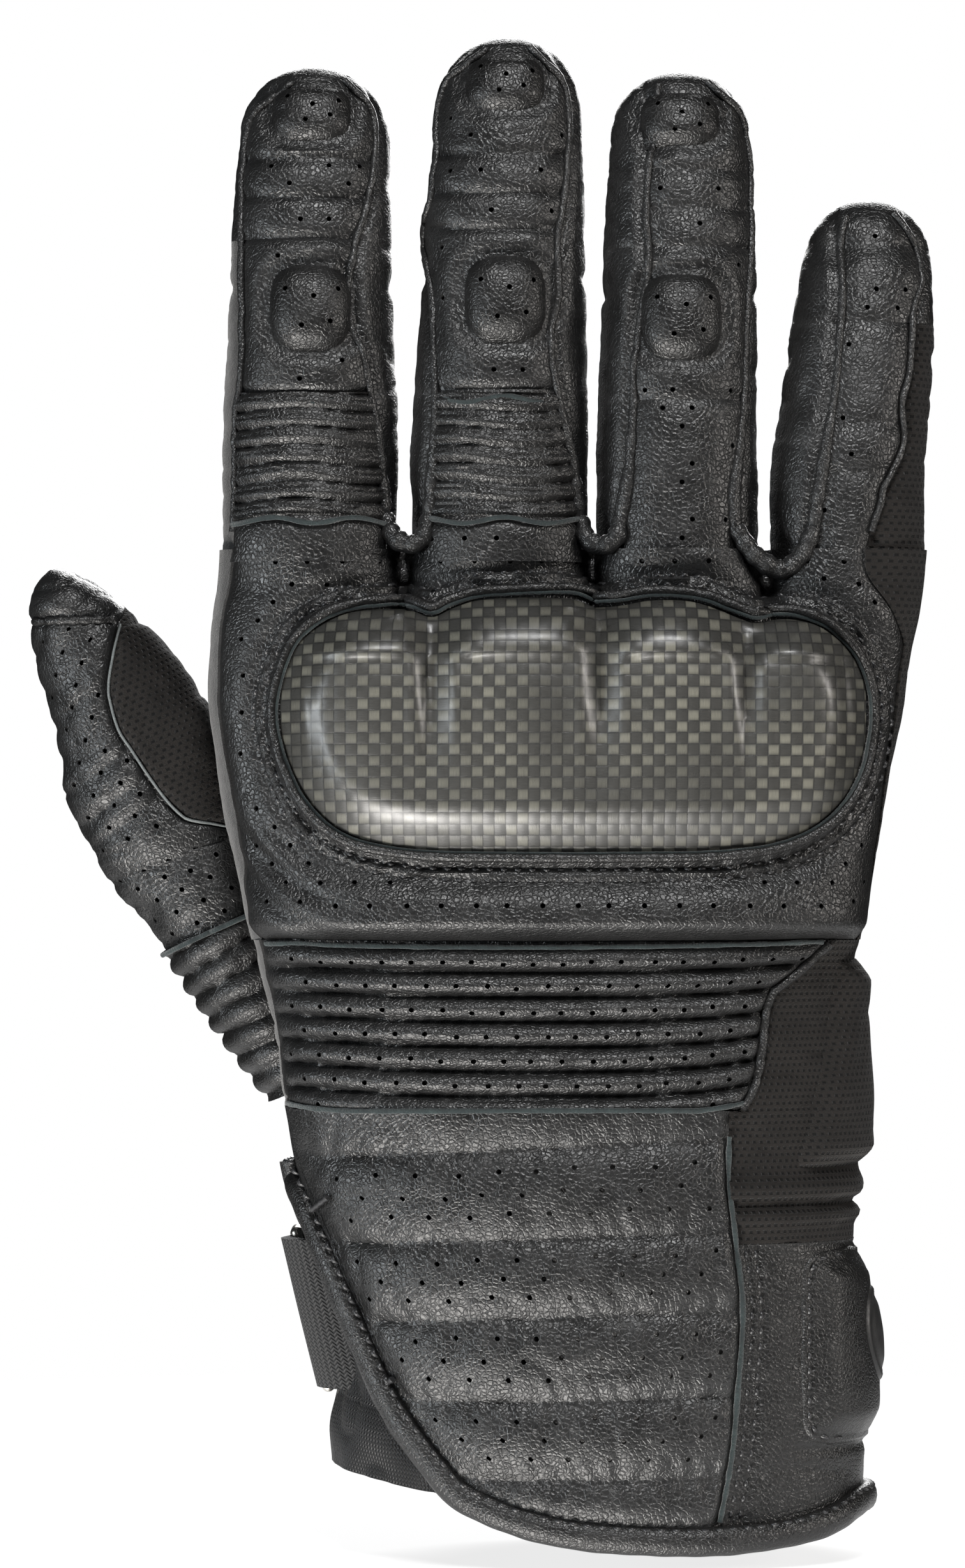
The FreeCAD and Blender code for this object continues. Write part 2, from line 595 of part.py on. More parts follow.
def make_gusset(thumb, hand):
    """The mesh sheet between thumb and hand."""
    clear = size("clearance")
    x, y, z = along_thumb(size("gusset_at"))
    sheet_box = doc.addObject("Part::Box", "gusset_sheet")
    bind(sheet_box, Length=size("gusset_width"), Width=size("gusset_thickness"),
         Height=size("gusset_height"))
    place(sheet_box, f"{x} + {size('gusset_inset')}", size("gusset_y"),
          f"{z} - {size('gusset_drop')}", size("gusset_lean"))
    web = cut("gusset_beside_hand", sheet_box, hand.skin(clear))
    node(cut("gusset_beside_thumb", web, thumb.skin(clear)), "thumb_mesh_gusset")


# ---------------------------------------------------------------- wrist


def oval_tube(name, *levels):
    """A tube whose stations are read from the sheet by the names of their levels."""
    return Tube(name, [(size(f"{level}_x"), "0", size(level), size(f"{level}_half"),
                        size(f"{level}_depth"), 0) for level in levels])


def wrist_tube():
    return oval_tube("wrist", "wrist_low", "wrist_mid", "wrist_high")


def make_wrist(wrist):
    far, clear, front, back = size("far", "clearance", "band_front", "band_back")
    low, high, right = size("wrist_low", "wrist_high", "accordion_right")
    skin = wrist.layer("wrist_skin", f"-{size('wall')}", "0")
    levels = (low, high)
    palm = block("wrist_palm_zone", (f"-{far}", far), (f"{back} + {clear}", far), levels)
    node(common("wrist_palm", skin, palm), "wrist_palm_panel")
    strip = block("wrist_strip_zone", (f"-{far}", "0"), (front, back), levels)
    node(common("wrist_strip", skin, strip), "wrist_edge_strip")
    mesh = block("wrist_mesh_zone", (f"{right} + {clear}", far), (f"-{far}", back), levels)
    node(common("wrist_mesh", skin, mesh), "ulnar_wrist_mesh")
    zone = block("accordion_zone", (f"-{far}", right), (f"-{far}", f"{front} - {clear}"), levels)
    thick = wrist.layer("accordion_layer", f"-{size('wall')}", size("accordion_rise"))
    panel = common("accordion_panel", thick, zone)
    half = f"{size('accordion_groove')} / 2"
    grooves = []
    for number in range(1, RIBS):
        z = f"{low} + {size('accordion_pitch')} * {number}"
        grooves.append(block(f"accordion_groove_{number}", (f"-{far}", far), (f"-{far}", "0"),
                             (f"{z} - {half}", f"{z} + {half}")))
    outside = cut("accordion_grooves", fuse("accordion_groove_set", *grooves), wrist.skin("0"))
    node(cut("accordion_ribs", panel, outside), "wrist_accordion")


# ---------------------------------------------------------------- cuff


def cuff_tube():
    return oval_tube("cuff", "cuff_mouth", "cuff_low", "cuff_strap", "cuff_high")


def slanted(name, near, far_side):
    """A slab of space beside the slanted edge of the back panel, between two offsets from it."""
    length, lean = size("far", "slant_lean")
    across, along = f"cos({lean} * 1 deg)", f"sin({lean} * 1 deg)"
    slab = doc.addObject("Part::Box", name)
    bind(slab, Length=f"({far_side}) - ({near})", Width=length, Height=length)
    x = f"{size('slant_x')} + {length} * {along} + ({near}) * {across}"
    z = f"{size('slant_z')} - {length} * {across} + ({near}) * {along}"
    return place(slab, x, f"-{length}", z, lean)


def make_wrist_pad():
    """The padded bulge on the little-finger side, over the seam between cuff and wrist."""
    bridge = oval_tube("wrist_pad", "cuff_strap", "cuff_high", "wrist_mid")
    layer = bridge.layer("wrist_pad_layer", f"2 * {size('clearance')}", size("wrist_pad_rise"))
    far = size("far")
    zone = block("wrist_pad_zone", (size("wrist_pad_left"), far), (f"-{far}", size("band_back")),
                 (size("wrist_pad_low"), size("wrist_pad_high")))
    node(common("wrist_pad_shape", layer, zone), "ulnar_wrist_pad")


def make_cuff_shell(cuff):
    far, clear, wall = size("far", "clearance", "wall")
    low, high = f"{size('binding_height')} + {clear}", size("cuff_high")
    right, closure = size("back_panel_right", "closure_left")
    skin = cuff.layer("cuff_skin", f"-{wall}", "0")
    zone = block("back_zone", (f"-{far}", right), (f"-{far}", f"-{clear}"), (low, high))
    back = common("cuff_back_whole", skin, zone)
    node(cut("cuff_back", back, slanted("back_corner", f"-{far}", f"{size('binding_height')} / 2")),
         "cuff_back_panel")
    palm_zone = fuse(
        "cuff_palm_zones",
        block("palm_zone_left", (f"-{far}", closure), (clear, far), (low, high)),
        block("palm_zone_right", (right, far), (f"{size('closure_back')} + {clear}", far),
              (low, high)))
    node(common("cuff_palm", skin, palm_zone), "cuff_palm_panel")
    zone = block("closure_zone", (f"{closure} + {clear}", far), (f"-{far}", size("closure_back")),
                 (low, size("closure_top")))
    node(common("closure_shape", skin, zone), "closure_panel")
    zone = block("cuff_mesh_zone", (f"{closure} + {clear}", far),
                 (f"-{far}", size("closure_back")), (f"{size('closure_top')} + {clear}", high))
    node(common("cuff_mesh", skin, zone), "ulnar_cuff_mesh")


def make_binding(cuff):
    """The rolled edge: round the mouth, then up the back panel's slanted corner."""
    far, clear, tall = size("far", "clearance", "binding_height")
    layer = cuff.layer("binding_layer", f"-{size('binding_depth')}", size("binding_rise"))
    mouth = block("mouth_zone", (f"-{far}", far), (f"-{far}", far), (size("cuff_mouth"), tall))
    slope = common("slope_zone", slanted("slope_slab", f"-{tall} / 2", f"{tall} / 2 - {clear}"),
                   block("slope_heights", (f"-{far}", far), (f"-{far}", f"-{clear}"),
                         (size("cuff_mouth"), size("slant_z"))))
    node(common("binding_shape", layer, fuse("binding_zones", mouth, slope)), "cuff_binding")


def make_inner_cuff(cuff):
    """The thin knitted cuff inside, which shows where the back panel is cut away."""
    gap, wall = size("inner_cuff_gap", "inner_cuff_wall")
    layer = cuff.layer("inner_cuff_layer", f"-({gap} + {wall})", f"-{gap}")
    far = size("far")
    zone = block("inner_cuff_zone", (f"-{far}", size("inner_cuff_right")), (f"-{far}", far),
                 size("inner_cuff_low", "inner_cuff_high"))
    shape = common("inner_cuff_part", layer, zone)
    edge = slanted("inner_cuff_edge", f"-({size('binding_height')} / 2 + {size('clearance')})",
                   f"{size('binding_height')} / 2")
    clear_of_edge = common("inner_cuff_edge_front", edge, cuff.skin("0"))
    shape = cut("inner_cuff_clear", shape, clear_of_edge)
    node(shape, "inner_cuff")


def make_closure(cuff):
    far, clear = size("far", "clearance")
    rise = size("closure_pad_rise")
    layer = cuff.layer("closure_pad_layer", clear, rise)
    zone = block("closure_pad_zone", (size("pad_left"), far), (f"-{far}", size("pad_back")),
                 (size("pad_low"), size("pad_high")))
    node(common("closure_pad_shape", layer, zone), "closure_pad")
    badge = doc.addObject("Part::Cylinder", "badge_core")
    bind(badge, Radius=size("badge_radius"), Height=far)
    badge.Placement = Placement(Vector(), Rotation(Vector(0, 1, 0), 90))
    place(badge, "0", size("badge_y"), size("badge_z"))
    seat = f"{rise} + {clear}"
    layer = cuff.layer("badge_layer", seat, f"{seat} + {size('badge_rise')}")
    node(common("badge_shape", layer, badge), "closure_badge")


def strap_layers(cuff, name, x, z, pieces):
    """Stack strips on the palm side of the cuff, from the skin outwards."""
    far = size("far")
    inset = size("tape_inset")
    height = size("clearance")
    for title, wall, is_tape in pieces:
        top = f"{height} + {wall}"
        layer = cuff.layer(f"{title}_layer", height, top)
        trim = inset if is_tape else "0"
        zone = block(f"{title}_zone", (f"{x[0]} + {trim}", f"{x[1]} - {trim}"),
                     (size("strap_front"), far), (f"{z[0]} + {trim}", f"{z[1]} - {trim}"))
        node(common(f"{title}_shape", layer, zone), title)
        height = f"{top} + {size('layer_gap')}"


def make_straps(cuff):
    strap, tape = size("strap_wall", "tape_wall")
    strap_layers(cuff, "strap", (size("strap_left"), size("strap_right")),
                 (size("strap_low"), size("strap_high")),
                 (("wrist_strap", strap, False), ("strap_loop_tape", tape, True),
                  ("strap_hook_tape", tape, True), ("strap_tail", strap, False)))
    strap_layers(cuff, "flap", (size("flap_left"), size("flap_right")),
                 (size("flap_low"), size("flap_high")),
                 (("flap_loop_tape", tape, True), ("flap_hook_tape", tape, True),
                  ("cuff_flap", strap, False)))
    far, wall = size("far", "wall")
    layer = cuff.layer("webbing_layer", f"-{wall}", f"-{size('webbing_gap')}")
    zone = block("webbing_zone", (f"-{far}", size("webbing_right")),
                 (size("webbing_front"), f"-{size('clearance')}"),
                 size("webbing_low", "webbing_high"))
    webbing = common("webbing_part", layer, zone)
    edge = f"-({size('binding_height')} / 2 + {size('clearance')})"
    corner = slanted("webbing_corner", f"-{far}", edge)
    node(common("webbing_shape", webbing, corner), "ring_webbing")


def make_ring():
    """A rectangular wire ring: two long bars, two short bars and a ball at each corner."""
    wire, tall, wide = size("ring_wire", "ring_half_height", "ring_half_width")
    pieces = []
    for side, sign in (("near", "-"), ("far", "")):
        bar = doc.addObject("Part::Cylinder", f"ring_bar_{side}")
        bind(bar, Radius=wire, Height=f"2 * {tall}")
        pieces.append(place(bar, "0", f"{sign}{wide}", f"-{tall}"))
        rung = doc.addObject("Part::Cylinder", f"ring_rung_{side}")
        bind(rung, Radius=wire, Height=f"2 * {wide}")
        rung.Placement = Placement(Vector(), Rotation(Vector(1, 0, 0), -90))
        pieces.append(place(rung, "0", f"-{wide}", f"{sign}{tall}"))
        for end, end_sign in (("low", "-"), ("high", "")):
            ball = doc.addObject("Part::Sphere", f"ring_ball_{side}_{end}")
            bind(ball, Radius=wire)
            pieces.append(place(ball, "0", f"{sign}{wide}", f"{end_sign}{tall}"))
    ring = fuse("ring_shape", *pieces)
    node(place(ring, *size("ring_x", "ring_y", "ring_z"), size("ring_lean")), "strap_ring")


# ---------------------------------------------------------------- assembly and files


def check_and_write():
    for thing in doc.Objects:
        if "Invalid" in thing.State or "Error" in thing.State:
            raise RuntimeError(f"{thing.Name} failed: {thing.State}")
    for piece in PARTS:
        shape = piece.Shape
        if shape.isNull() or not shape.isValid() or not shape.Solids:
            raise RuntimeError(f"{piece.Label} has no valid solid")
    os.makedirs("parts", exist_ok=True)
    for piece in PARTS:
        piece.Shape.exportStep(f"parts/{piece.Label}.step")
        print(f"{piece.Label}: {len(piece.Shape.Solids)} solid(s), {piece.Shape.Volume:.0f} mm3")


fill_sheet()
doc.recompute()
hand_form = hand_tube()
thumb_form = thumb_tube()
wrist_form = wrist_tube()
cuff_form = cuff_tube()
make_fingers()
make_hand(hand_form, thumb_form)
make_guard(hand_form)
make_heel_pad()
make_thumb(thumb_form, hand_form, wrist_form)
make_thumb_heel(thumb_form)
make_gusset(thumb_form, hand_form)
make_wrist(wrist_form)
make_wrist_pad()
make_cuff_shell(cuff_form)
make_binding(cuff_form)
make_inner_cuff(cuff_form)
make_closure(cuff_form)
make_straps(cuff_form)
make_ring()
doc.recompute()
check_and_write()
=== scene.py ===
"""Looks of the riding glove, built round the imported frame.

Lengths in this script are millimetres in the frame's own axes (back of the hand towards -Y,
fingers towards +Z, thumb towards -X) and become metres when a mesh is made.
Every soft panel is a sheet laid on a form measured from the CAD nodes, then given its relief:
quilting, ribs, pads, seams, creases and punched holes.
"""
import json
import math
import bpy
import numpy as np
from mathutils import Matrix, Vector
from mathutils.bvhtree import BVHTree


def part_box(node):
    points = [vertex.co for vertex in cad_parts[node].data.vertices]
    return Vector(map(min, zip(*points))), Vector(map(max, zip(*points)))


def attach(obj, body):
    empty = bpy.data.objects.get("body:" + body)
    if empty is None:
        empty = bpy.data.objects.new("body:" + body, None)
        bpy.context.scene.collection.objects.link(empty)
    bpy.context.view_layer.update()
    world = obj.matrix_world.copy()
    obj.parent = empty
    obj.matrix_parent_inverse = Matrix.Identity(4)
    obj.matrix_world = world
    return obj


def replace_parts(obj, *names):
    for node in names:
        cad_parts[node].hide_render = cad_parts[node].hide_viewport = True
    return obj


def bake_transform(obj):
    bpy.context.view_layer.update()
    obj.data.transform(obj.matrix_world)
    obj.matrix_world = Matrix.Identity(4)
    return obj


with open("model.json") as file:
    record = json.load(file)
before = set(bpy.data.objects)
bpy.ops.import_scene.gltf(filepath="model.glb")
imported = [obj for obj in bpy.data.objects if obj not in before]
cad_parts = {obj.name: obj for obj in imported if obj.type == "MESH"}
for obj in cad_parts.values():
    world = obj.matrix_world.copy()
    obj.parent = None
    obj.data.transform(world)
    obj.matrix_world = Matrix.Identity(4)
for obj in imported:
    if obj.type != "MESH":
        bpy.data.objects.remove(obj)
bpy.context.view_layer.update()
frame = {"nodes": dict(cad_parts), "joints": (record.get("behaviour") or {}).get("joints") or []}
MM = 0.001
TURN = 2 * math.pi
JOINTS = {joint["name"]: joint for joint in frame["joints"]}
FINGERS = ("index", "middle", "ring", "little")

# ------------------------------------------------------------------ numbers and curves


def smooth(low, high, value):
    """0 below low, 1 above high, eased between."""
    t = np.clip((value - low) / (high - low), 0, 1)
    return t * t * (3 - 2 * t)


def bell(distance, width):
    return np.exp(-(distance / width) ** 2)


def lattice(cell, seed):
    """A repeatable number between -1 and 1 for each whole-numbered point."""
    mixed = (cell[..., 0] * 73856093) ^ (cell[..., 1] * 19349663) ^ (cell[..., 2] * 83492791)
    mixed = (mixed ^ (seed * 2654435761)) & 0xFFFFFFFF
    mixed = ((mixed ^ (mixed >> 15)) * 2246822519) & 0xFFFFFFFF
    mixed = ((mixed ^ (mixed >> 13)) * 3266489917) & 0xFFFFFFFF
    return ((mixed ^ (mixed >> 16)) & 0xFFFF) / 32767.5 - 1


def noise(points, scale, seed):
    """Smooth noise between -1 and 1; scale is the size of a lump, one number or one per axis."""
    spot = points / np.asarray(scale, float)
    cell = np.floor(spot).astype(np.int64)
    part = spot - cell
    part = part * part * (3 - 2 * part)
    total = np.zeros(points.shape[:-1])
    for corner in range(8):
        step = np.array([corner & 1, corner >> 1 & 1, corner >> 2 & 1])
        weight = np.prod(np.where(step, part, 1 - part), axis=-1)
        total += weight * lattice(cell + step, seed)
    return total


def lumps(points, scale, seed):
    """Noise in three octaves."""
    scale = np.asarray(scale, float)
    return sum(noise(points, scale / 2 ** k, seed + k) / 2 ** k for k in range(3)) / 1.6


def creases(points, scale, seed):
    """Sharp valleys between rounded folds, 0 on a fold and -1 in a valley."""
    bent = points + 1.2 * np.stack([noise(points, 5.0, seed + 7)] * 3, axis=-1)
    return -(1 - np.abs(noise(bent, scale, seed))) ** 4


def steady(x, xp, fp):
    """Monotone cubic interpolation through (xp, fp), flat beyond the ends."""
    xp, fp = np.asarray(xp, float), np.asarray(fp, float)
    if len(xp) < 3:
        return np.interp(x, xp, fp)
    gap, rise = np.diff(xp), np.diff(fp)
    slope = rise / gap
    tangent = np.zeros(len(xp))
    same = slope[:-1] * slope[1:] > 0
    mean = 2 * slope[:-1] * slope[1:] / np.where(same, slope[:-1] + slope[1:], 1)
    tangent[1:-1] = np.where(same, mean, 0)
    tangent[0], tangent[-1] = slope[0], slope[-1]
    x = np.clip(x, xp[0], xp[-1])
    k = np.clip(np.searchsorted(xp, x, side="right") - 1, 0, len(gap) - 1)
    t = (x - xp[k]) / gap[k]
    low = (1 + 2 * t) * (1 - t) ** 2 * fp[k] + t * t * (3 - 2 * t) * fp[k + 1]
    return low + gap[k] * (t * (1 - t) ** 2 * tangent[k] - t * t * (1 - t) * tangent[k + 1])


def spline(points, step=1.0, closed=False):
    """A curve through the points, as points about step apart."""
    knots = np.asarray(points, float)
    if closed:
        knots = np.vstack([knots[-1], knots, knots[:2]])
    else:
        knots = np.vstack([2 * knots[0] - knots[1], knots, 2 * knots[-1] - knots[-2]])
    t = np.linspace(0, 1, 17)[:-1, None]
    runs = []
    for a, b, c, d in zip(knots, knots[1:], knots[2:], knots[3:]):
        runs.append(0.5 * (2 * b + (c - a) * t + (2 * a - 5 * b + 4 * c - d) * t ** 2
                           + (3 * b - a - 3 * c + d) * t ** 3))
    runs.append(knots[-2][None])
    return resample(np.vstack(runs), step)


def resample(line, step):
    reach = np.concatenate([[0], np.cumsum(np.linalg.norm(np.diff(line, axis=0), axis=1))])
    count = max(2, int(round(reach[-1] / step)) + 1)
    at = np.linspace(0, reach[-1], count)
    return np.stack([np.interp(at, reach, column) for column in line.T], axis=1)


def x_at(line, z):
    """x of an upward line of (x, z) points at these heights."""
    return np.interp(z, line[:, 1], line[:, 0])


def beside(x, z, line):
    """Distance from each (x, z) to a polyline, positive to its left as it is drawn."""
    spot = np.stack([np.ravel(x), np.ravel(z)], axis=1)
    best, side = np.full(len(spot), 1e9), np.ones(len(spot))
    for a, b in zip(line[:-1], line[1:]):
        run = b - a
        t = np.clip(((spot - a) @ run) / (run @ run), 0, 1)
        off = spot - a - t[:, None] * run
        distance = np.hypot(off[:, 0], off[:, 1])
        near = distance < best - 1e-9
        best = np.where(near, distance, best)
        side = np.where(near, np.sign(run[0] * off[:, 1] - run[1] * off[:, 0]), side)
    return (best * np.where(side == 0, 1, side)).reshape(np.shape(x))


# ------------------------------------------------------------------ forms measured from the frame


def box(node):
    low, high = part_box(node)
    return np.array(low) / MM, np.array(high) / MM


def tree_of(*names):
    verts, faces = [], []
    for name in names:
        mesh = frame["nodes"][name].data
        flat = np.zeros(len(mesh.vertices) * 3)
        mesh.vertices.foreach_get("co", flat)
        mesh.calc_loop_triangles()
        corners = np.zeros(len(mesh.loop_triangles) * 3, np.int32)
        mesh.loop_triangles.foreach_get("vertices", corners)
        faces += (corners.reshape(-1, 3) + len(verts)).tolist()
        verts += (flat.reshape(-1, 3) / MM).tolist()
    return BVHTree.FromPolygons(verts, faces)


FAR = 300.0


def touch(tree, start, direction):
    found = tree.ray_cast(Vector(start), Vector(direction))[0]
    if found is None:
        raise RuntimeError(f"nothing of the frame lies from {start} along {direction}")
    return found


class Form:
    """A tube of rounded sections along Z, each (z, centre x, centre y, half x, half y, power)."""

    def __init__(self, sections, middle=None, warp=None, seat=None):
        self.table = np.array(sections, float)
        self.warp = warp
        self.seat = seat
        middle = middle if middle is not None else self.table[len(self.table) // 2, 0]
        angles = np.linspace(-TURN, TURN, 2881)
        ring = self.raw(angles, np.full(angles.shape, middle))
        run = np.linalg.norm(np.diff(ring, axis=0), axis=1)
        self.angles, self.arcs = angles, np.concatenate([[0], np.cumsum(run)])

    def section(self, z):
        return [steady(z, self.table[:, 0], self.table[:, k]) for k in range(1, 6)]

    def raw(self, angle, z):
        cx, cy, a, b, power = self.section(z)
        c, s = np.cos(angle), np.sin(angle)
        reach = (np.abs(c / a) ** power + np.abs(s / b) ** power) ** (-1 / power)
        return np.stack([cx + reach * c, cy + reach * s, z], axis=-1)

    def point(self, angle, z):
        found = self.raw(angle, z)
        if self.warp is not None:
            found = self.warp(found, angle)
        return found

    def world(self, points):
        return points if self.seat is None else self.seat(points)

    def arc(self, angle):
        return np.interp(angle, self.angles, self.arcs)

    def angle(self, arc):
        return np.interp(arc, self.arcs, self.angles)

    def face(self, x, z, palm=False):
        """The angle of the point of the back, or of the palm, that lies at this x."""
        x, z = np.broadcast_arrays(np.asarray(x, float), np.asarray(z, float))
        cx, _, a, b, power = self.section(z)
        share = np.clip((x - cx) / a, -1, 1)
        y = b * (1 - np.abs(share) ** power) ** (1 / power)
        return np.arctan2(y if palm else -y, share * a)

    def spot(self, angle, z):
        return Spot(self, angle, z)


class Spot:
    """Points of a form, with the facts a relief needs."""

    def __init__(self, form, angle, z):
        angle, z = np.broadcast_arrays(np.asarray(angle, float), np.asarray(z, float))
        tiny = 1e-3
        self.form, self.angle = form, angle
        self.base = form.point(angle, z)
        around = form.point(angle + tiny, z) - form.point(angle - tiny, z)
        along = form.point(angle, z + 0.2) - form.point(angle, z - 0.2)
        normal = np.cross(around, along)
        length = np.linalg.norm(normal, axis=-1, keepdims=True)
        self.normal = normal / np.maximum(length, 1e-9)
        self.x, self.y, self.z = self.base[..., 0], self.base[..., 1], self.base[..., 2]
        self.back = smooth(0.04, 0.34, -np.sin(angle))
        self.palm = smooth(0.04, 0.34, np.sin(angle))
        self.arc = form.arc(angle)


class Skin:
    """A form with its relief: where things that lie on it take their places from."""

    def __init__(self, form, relief):
        self.form, self.relief = form, relief

    def lay(self, angle, z, lift=0.0):
        """World points and outward normals on the finished surface."""
        spot = self.form.spot(angle, z)
        height = self.relief(spot) + lift
        point = self.form.world(spot.base + spot.normal * height[..., None])
        tip = self.form.world(spot.base + spot.normal * (height[..., None] + 1))
        return point, tip - point

    def over(self, line, lift=0.0, palm=False):
        line = np.asarray(line, float)
        return self.lay(self.form.face(line[:, 0], line[:, 1], palm), line[:, 1], lift)


# ------------------------------------------------------------------ meshes


SHARP = math.radians(58)
SLOTS = {"back_leather": "back_leather", "palm_leather": "palm_leather",
         "plain_leather": "back_leather", "edge_suede": "suede", "raw_edge": "suede",
         "side_mesh": "mesh", "strap_webbing": "webbing", "inner_jersey": "jersey",
         "loop_tape": "tape", "hook_tape": "tape", "carbon_weave": "carbon", "grey_foam": "foam"}


def build(name, verts, faces, finish, uv=None, slot=None):
    """A mesh object from millimetre points. faces is a list of arrays of vertex rows.

    slot is not used. Thread and rubber have no entry in SLOTS.
    """
    mesh = bpy.data.meshes.new(name)
    rows = [np.asarray(part, np.int64) for part in faces if len(part)]
    loops = np.concatenate([part.ravel() for part in rows])
    totals = np.concatenate([np.full(len(part), part.shape[1]) for part in rows])
    used = np.unique(loops)
    renumber = np.full(len(verts), -1)
    renumber[used] = np.arange(len(used))
    loops = renumber[loops]
    mesh.vertices.add(len(used))
    mesh.vertices.foreach_set("co", (np.asarray(verts)[used] * MM).ravel())
    mesh.loops.add(len(loops))
    mesh.loops.foreach_set("vertex_index", loops)
    mesh.polygons.add(len(totals))
    mesh.polygons.foreach_set("loop_start", np.concatenate([[0], np.cumsum(totals)[:-1]]))
    mesh.polygons.foreach_set("use_smooth", np.ones(len(totals), bool))
    mesh.update(calc_edges=True)
    if uv is not None:
        layer = mesh.uv_layers.new(name="surface")
        layer.data.foreach_set("uv", np.asarray(uv)[used][loops].ravel())
    mesh.validate()
    mesh.set_sharp_from_angle(angle=SHARP)
    piece = bpy.data.objects.new(name, mesh)
    bpy.context.scene.collection.objects.link(piece)
    mesh.materials.append(finish)
    slot = slot or SLOTS.get(finish.name.split(".")[0])
    return piece


def grid_faces(number, closed=False):
    """Quads of a grid of vertex numbers, wound so that rows x columns face outwards."""
    a, b = number[:-1, :-1], number[:-1, 1:]
    c, d = number[1:, 1:], number[1:, :-1]
    quads = np.stack([a, b, c, d], axis=-1).reshape(-1, 4)
    if closed:
        wrap = np.stack([number[:-1, -1], number[:-1, 0], number[1:, 0], number[1:, -1]], axis=-1)
        quads = np.vstack([quads, wrap])
    return quads


def thicken(outer, inner, quads):
    """Faces of a closed sheet: the outer quads, the inner ones turned over, and its rims."""
    count = len(outer)
    edges = np.concatenate([quads[:, [k, (k + 1) % 4]] for k in range(4)])
    key = np.sort(edges, axis=1)
    code = key[:, 0] * (count + 1) + key[:, 1]
    _, first, times = np.unique(code, return_index=True, return_counts=True)
    rim = edges[first[times == 1]]
    walls = np.stack([rim[:, 1], rim[:, 0], rim[:, 0] + count, rim[:, 1] + count], axis=-1)
    return np.vstack([outer, inner]), np.vstack([quads, quads[:, ::-1] + count, walls])


HOLE_RADIUS = 0.46


def punch(points, inner, uv, number, quads_of, holes):
    """Replace the four quads round each hole's vertex by a ring of eight round an opening."""
    extra, extra_in, extra_uv, faces, blocked = [], [], [], [], np.zeros(number.shape, bool)
    rows, columns = number.shape
    count = len(points)
    around = ((-1, -1), (-1, 0), (-1, 1), (0, 1), (1, 1), (1, 0), (1, -1), (0, -1))
    for row, column in holes:
        if not (2 <= row < rows - 2 and 2 <= column < columns - 2):
            continue
        if blocked[row - 2:row + 3, column - 2:column + 3].any():
            continue
        blocked[row, column] = True
        centre = number[row, column]
        ring = [number[row + r, column + c] for r, c in around]
        fresh = []
        for other in ring:
            away = points[other] - points[centre]
            share = HOLE_RADIUS / np.linalg.norm(away)
            extra.append(points[centre] + away * share)
            extra_in.append(inner[centre] + (inner[other] - inner[centre]) * share)
            extra_uv.append(uv[centre] + (uv[other] - uv[centre]) * share)
            fresh.append(count + len(extra) - 1)
        for k in range(8):
            n = (k + 1) % 8
            faces.append((ring[k], ring[n], fresh[n], fresh[k]))
    keep = ~np.isin(quads_of, number[blocked]).any(axis=1)
    if not extra:
        return points, inner, uv, quads_of
    return (np.vstack([points, extra]), np.vstack([inner, extra_in]), np.vstack([uv, extra_uv]),
            np.vstack([quads_of[keep], faces]))


def sheet(name, skin, heights, left, right, finish, step=0.8, thick=1.2, holes=None,
          fold=0.0, closed=False):
    """A panel of leather or cloth on a skin, between two angles given for each height.

    holes(spot) is True where a punched hole's centre may be; fold turns its side edges under.
    """
    form = skin.form
    low, high = form.arc(left), form.arc(right)
    columns = max(3, int(np.max(high - low) / step))
    share = np.linspace(0, 1, columns + 1)
    if closed:
        share = share[:-1]
    arcs = low[:, None] + (high - low)[:, None] * share[None, :]
    z = np.repeat(heights[:, None], len(share), axis=1)
    spot = form.spot(form.angle(arcs), z)
    relief = skin.relief(spot)
    if fold:
        edge = np.minimum(arcs - low[:, None], high[:, None] - arcs)
        relief = relief - fold * (1 - smooth(0, 1.3, edge))
    outer = form.world(spot.base + spot.normal * relief[..., None]).reshape(-1, 3)
    inner = form.world(spot.base - spot.normal * thick).reshape(-1, 3)
    uv = np.stack([arcs, z], axis=-1).reshape(-1, 2)
    number = np.arange(len(outer)).reshape(z.shape)
    quads = grid_faces(number, closed)
    if holes is not None:
        outer, inner, uv, quads = punch(outer, inner, uv, number, quads, holes(spot))
    verts, faces = thicken(outer, inner, quads)
    return build(name, verts, [faces], finish, np.vstack([uv, uv]))


def panel(node, body, *shape, **options):
    """A sheet that stands for a CAD node and rides on a body; a wrist piece is only baked in
    place.
    """
    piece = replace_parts(sheet(*shape, **options), node)
    return bend_at_wrist(piece) if body == "wrist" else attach(piece, body)


def corner_inset(heights, low, high, corner):
    """How far a side edge moves in at each height, to round the corners at both ends."""
    short = np.maximum(corner - np.minimum(heights - low, high - heights), 0)
    return corner - np.sqrt(np.maximum(corner ** 2 - short ** 2, 0))


def nearest_rows(spot, centres, allowed):
    """The grid places nearest to the wanted hole centres, where holes are allowed."""
    places = []
    flat = np.stack([spot.x.ravel(), spot.z.ravel()], axis=1)
    usable = (allowed & (spot.back > 0.5)).ravel()
    for x, z in centres:
        distance = np.hypot(flat[:, 0] - x, flat[:, 1] - z)
        k = int(np.argmin(distance))
        if distance[k] < 0.9 and usable[k]:
            places.append(np.unravel_index(k, spot.x.shape))
    return places


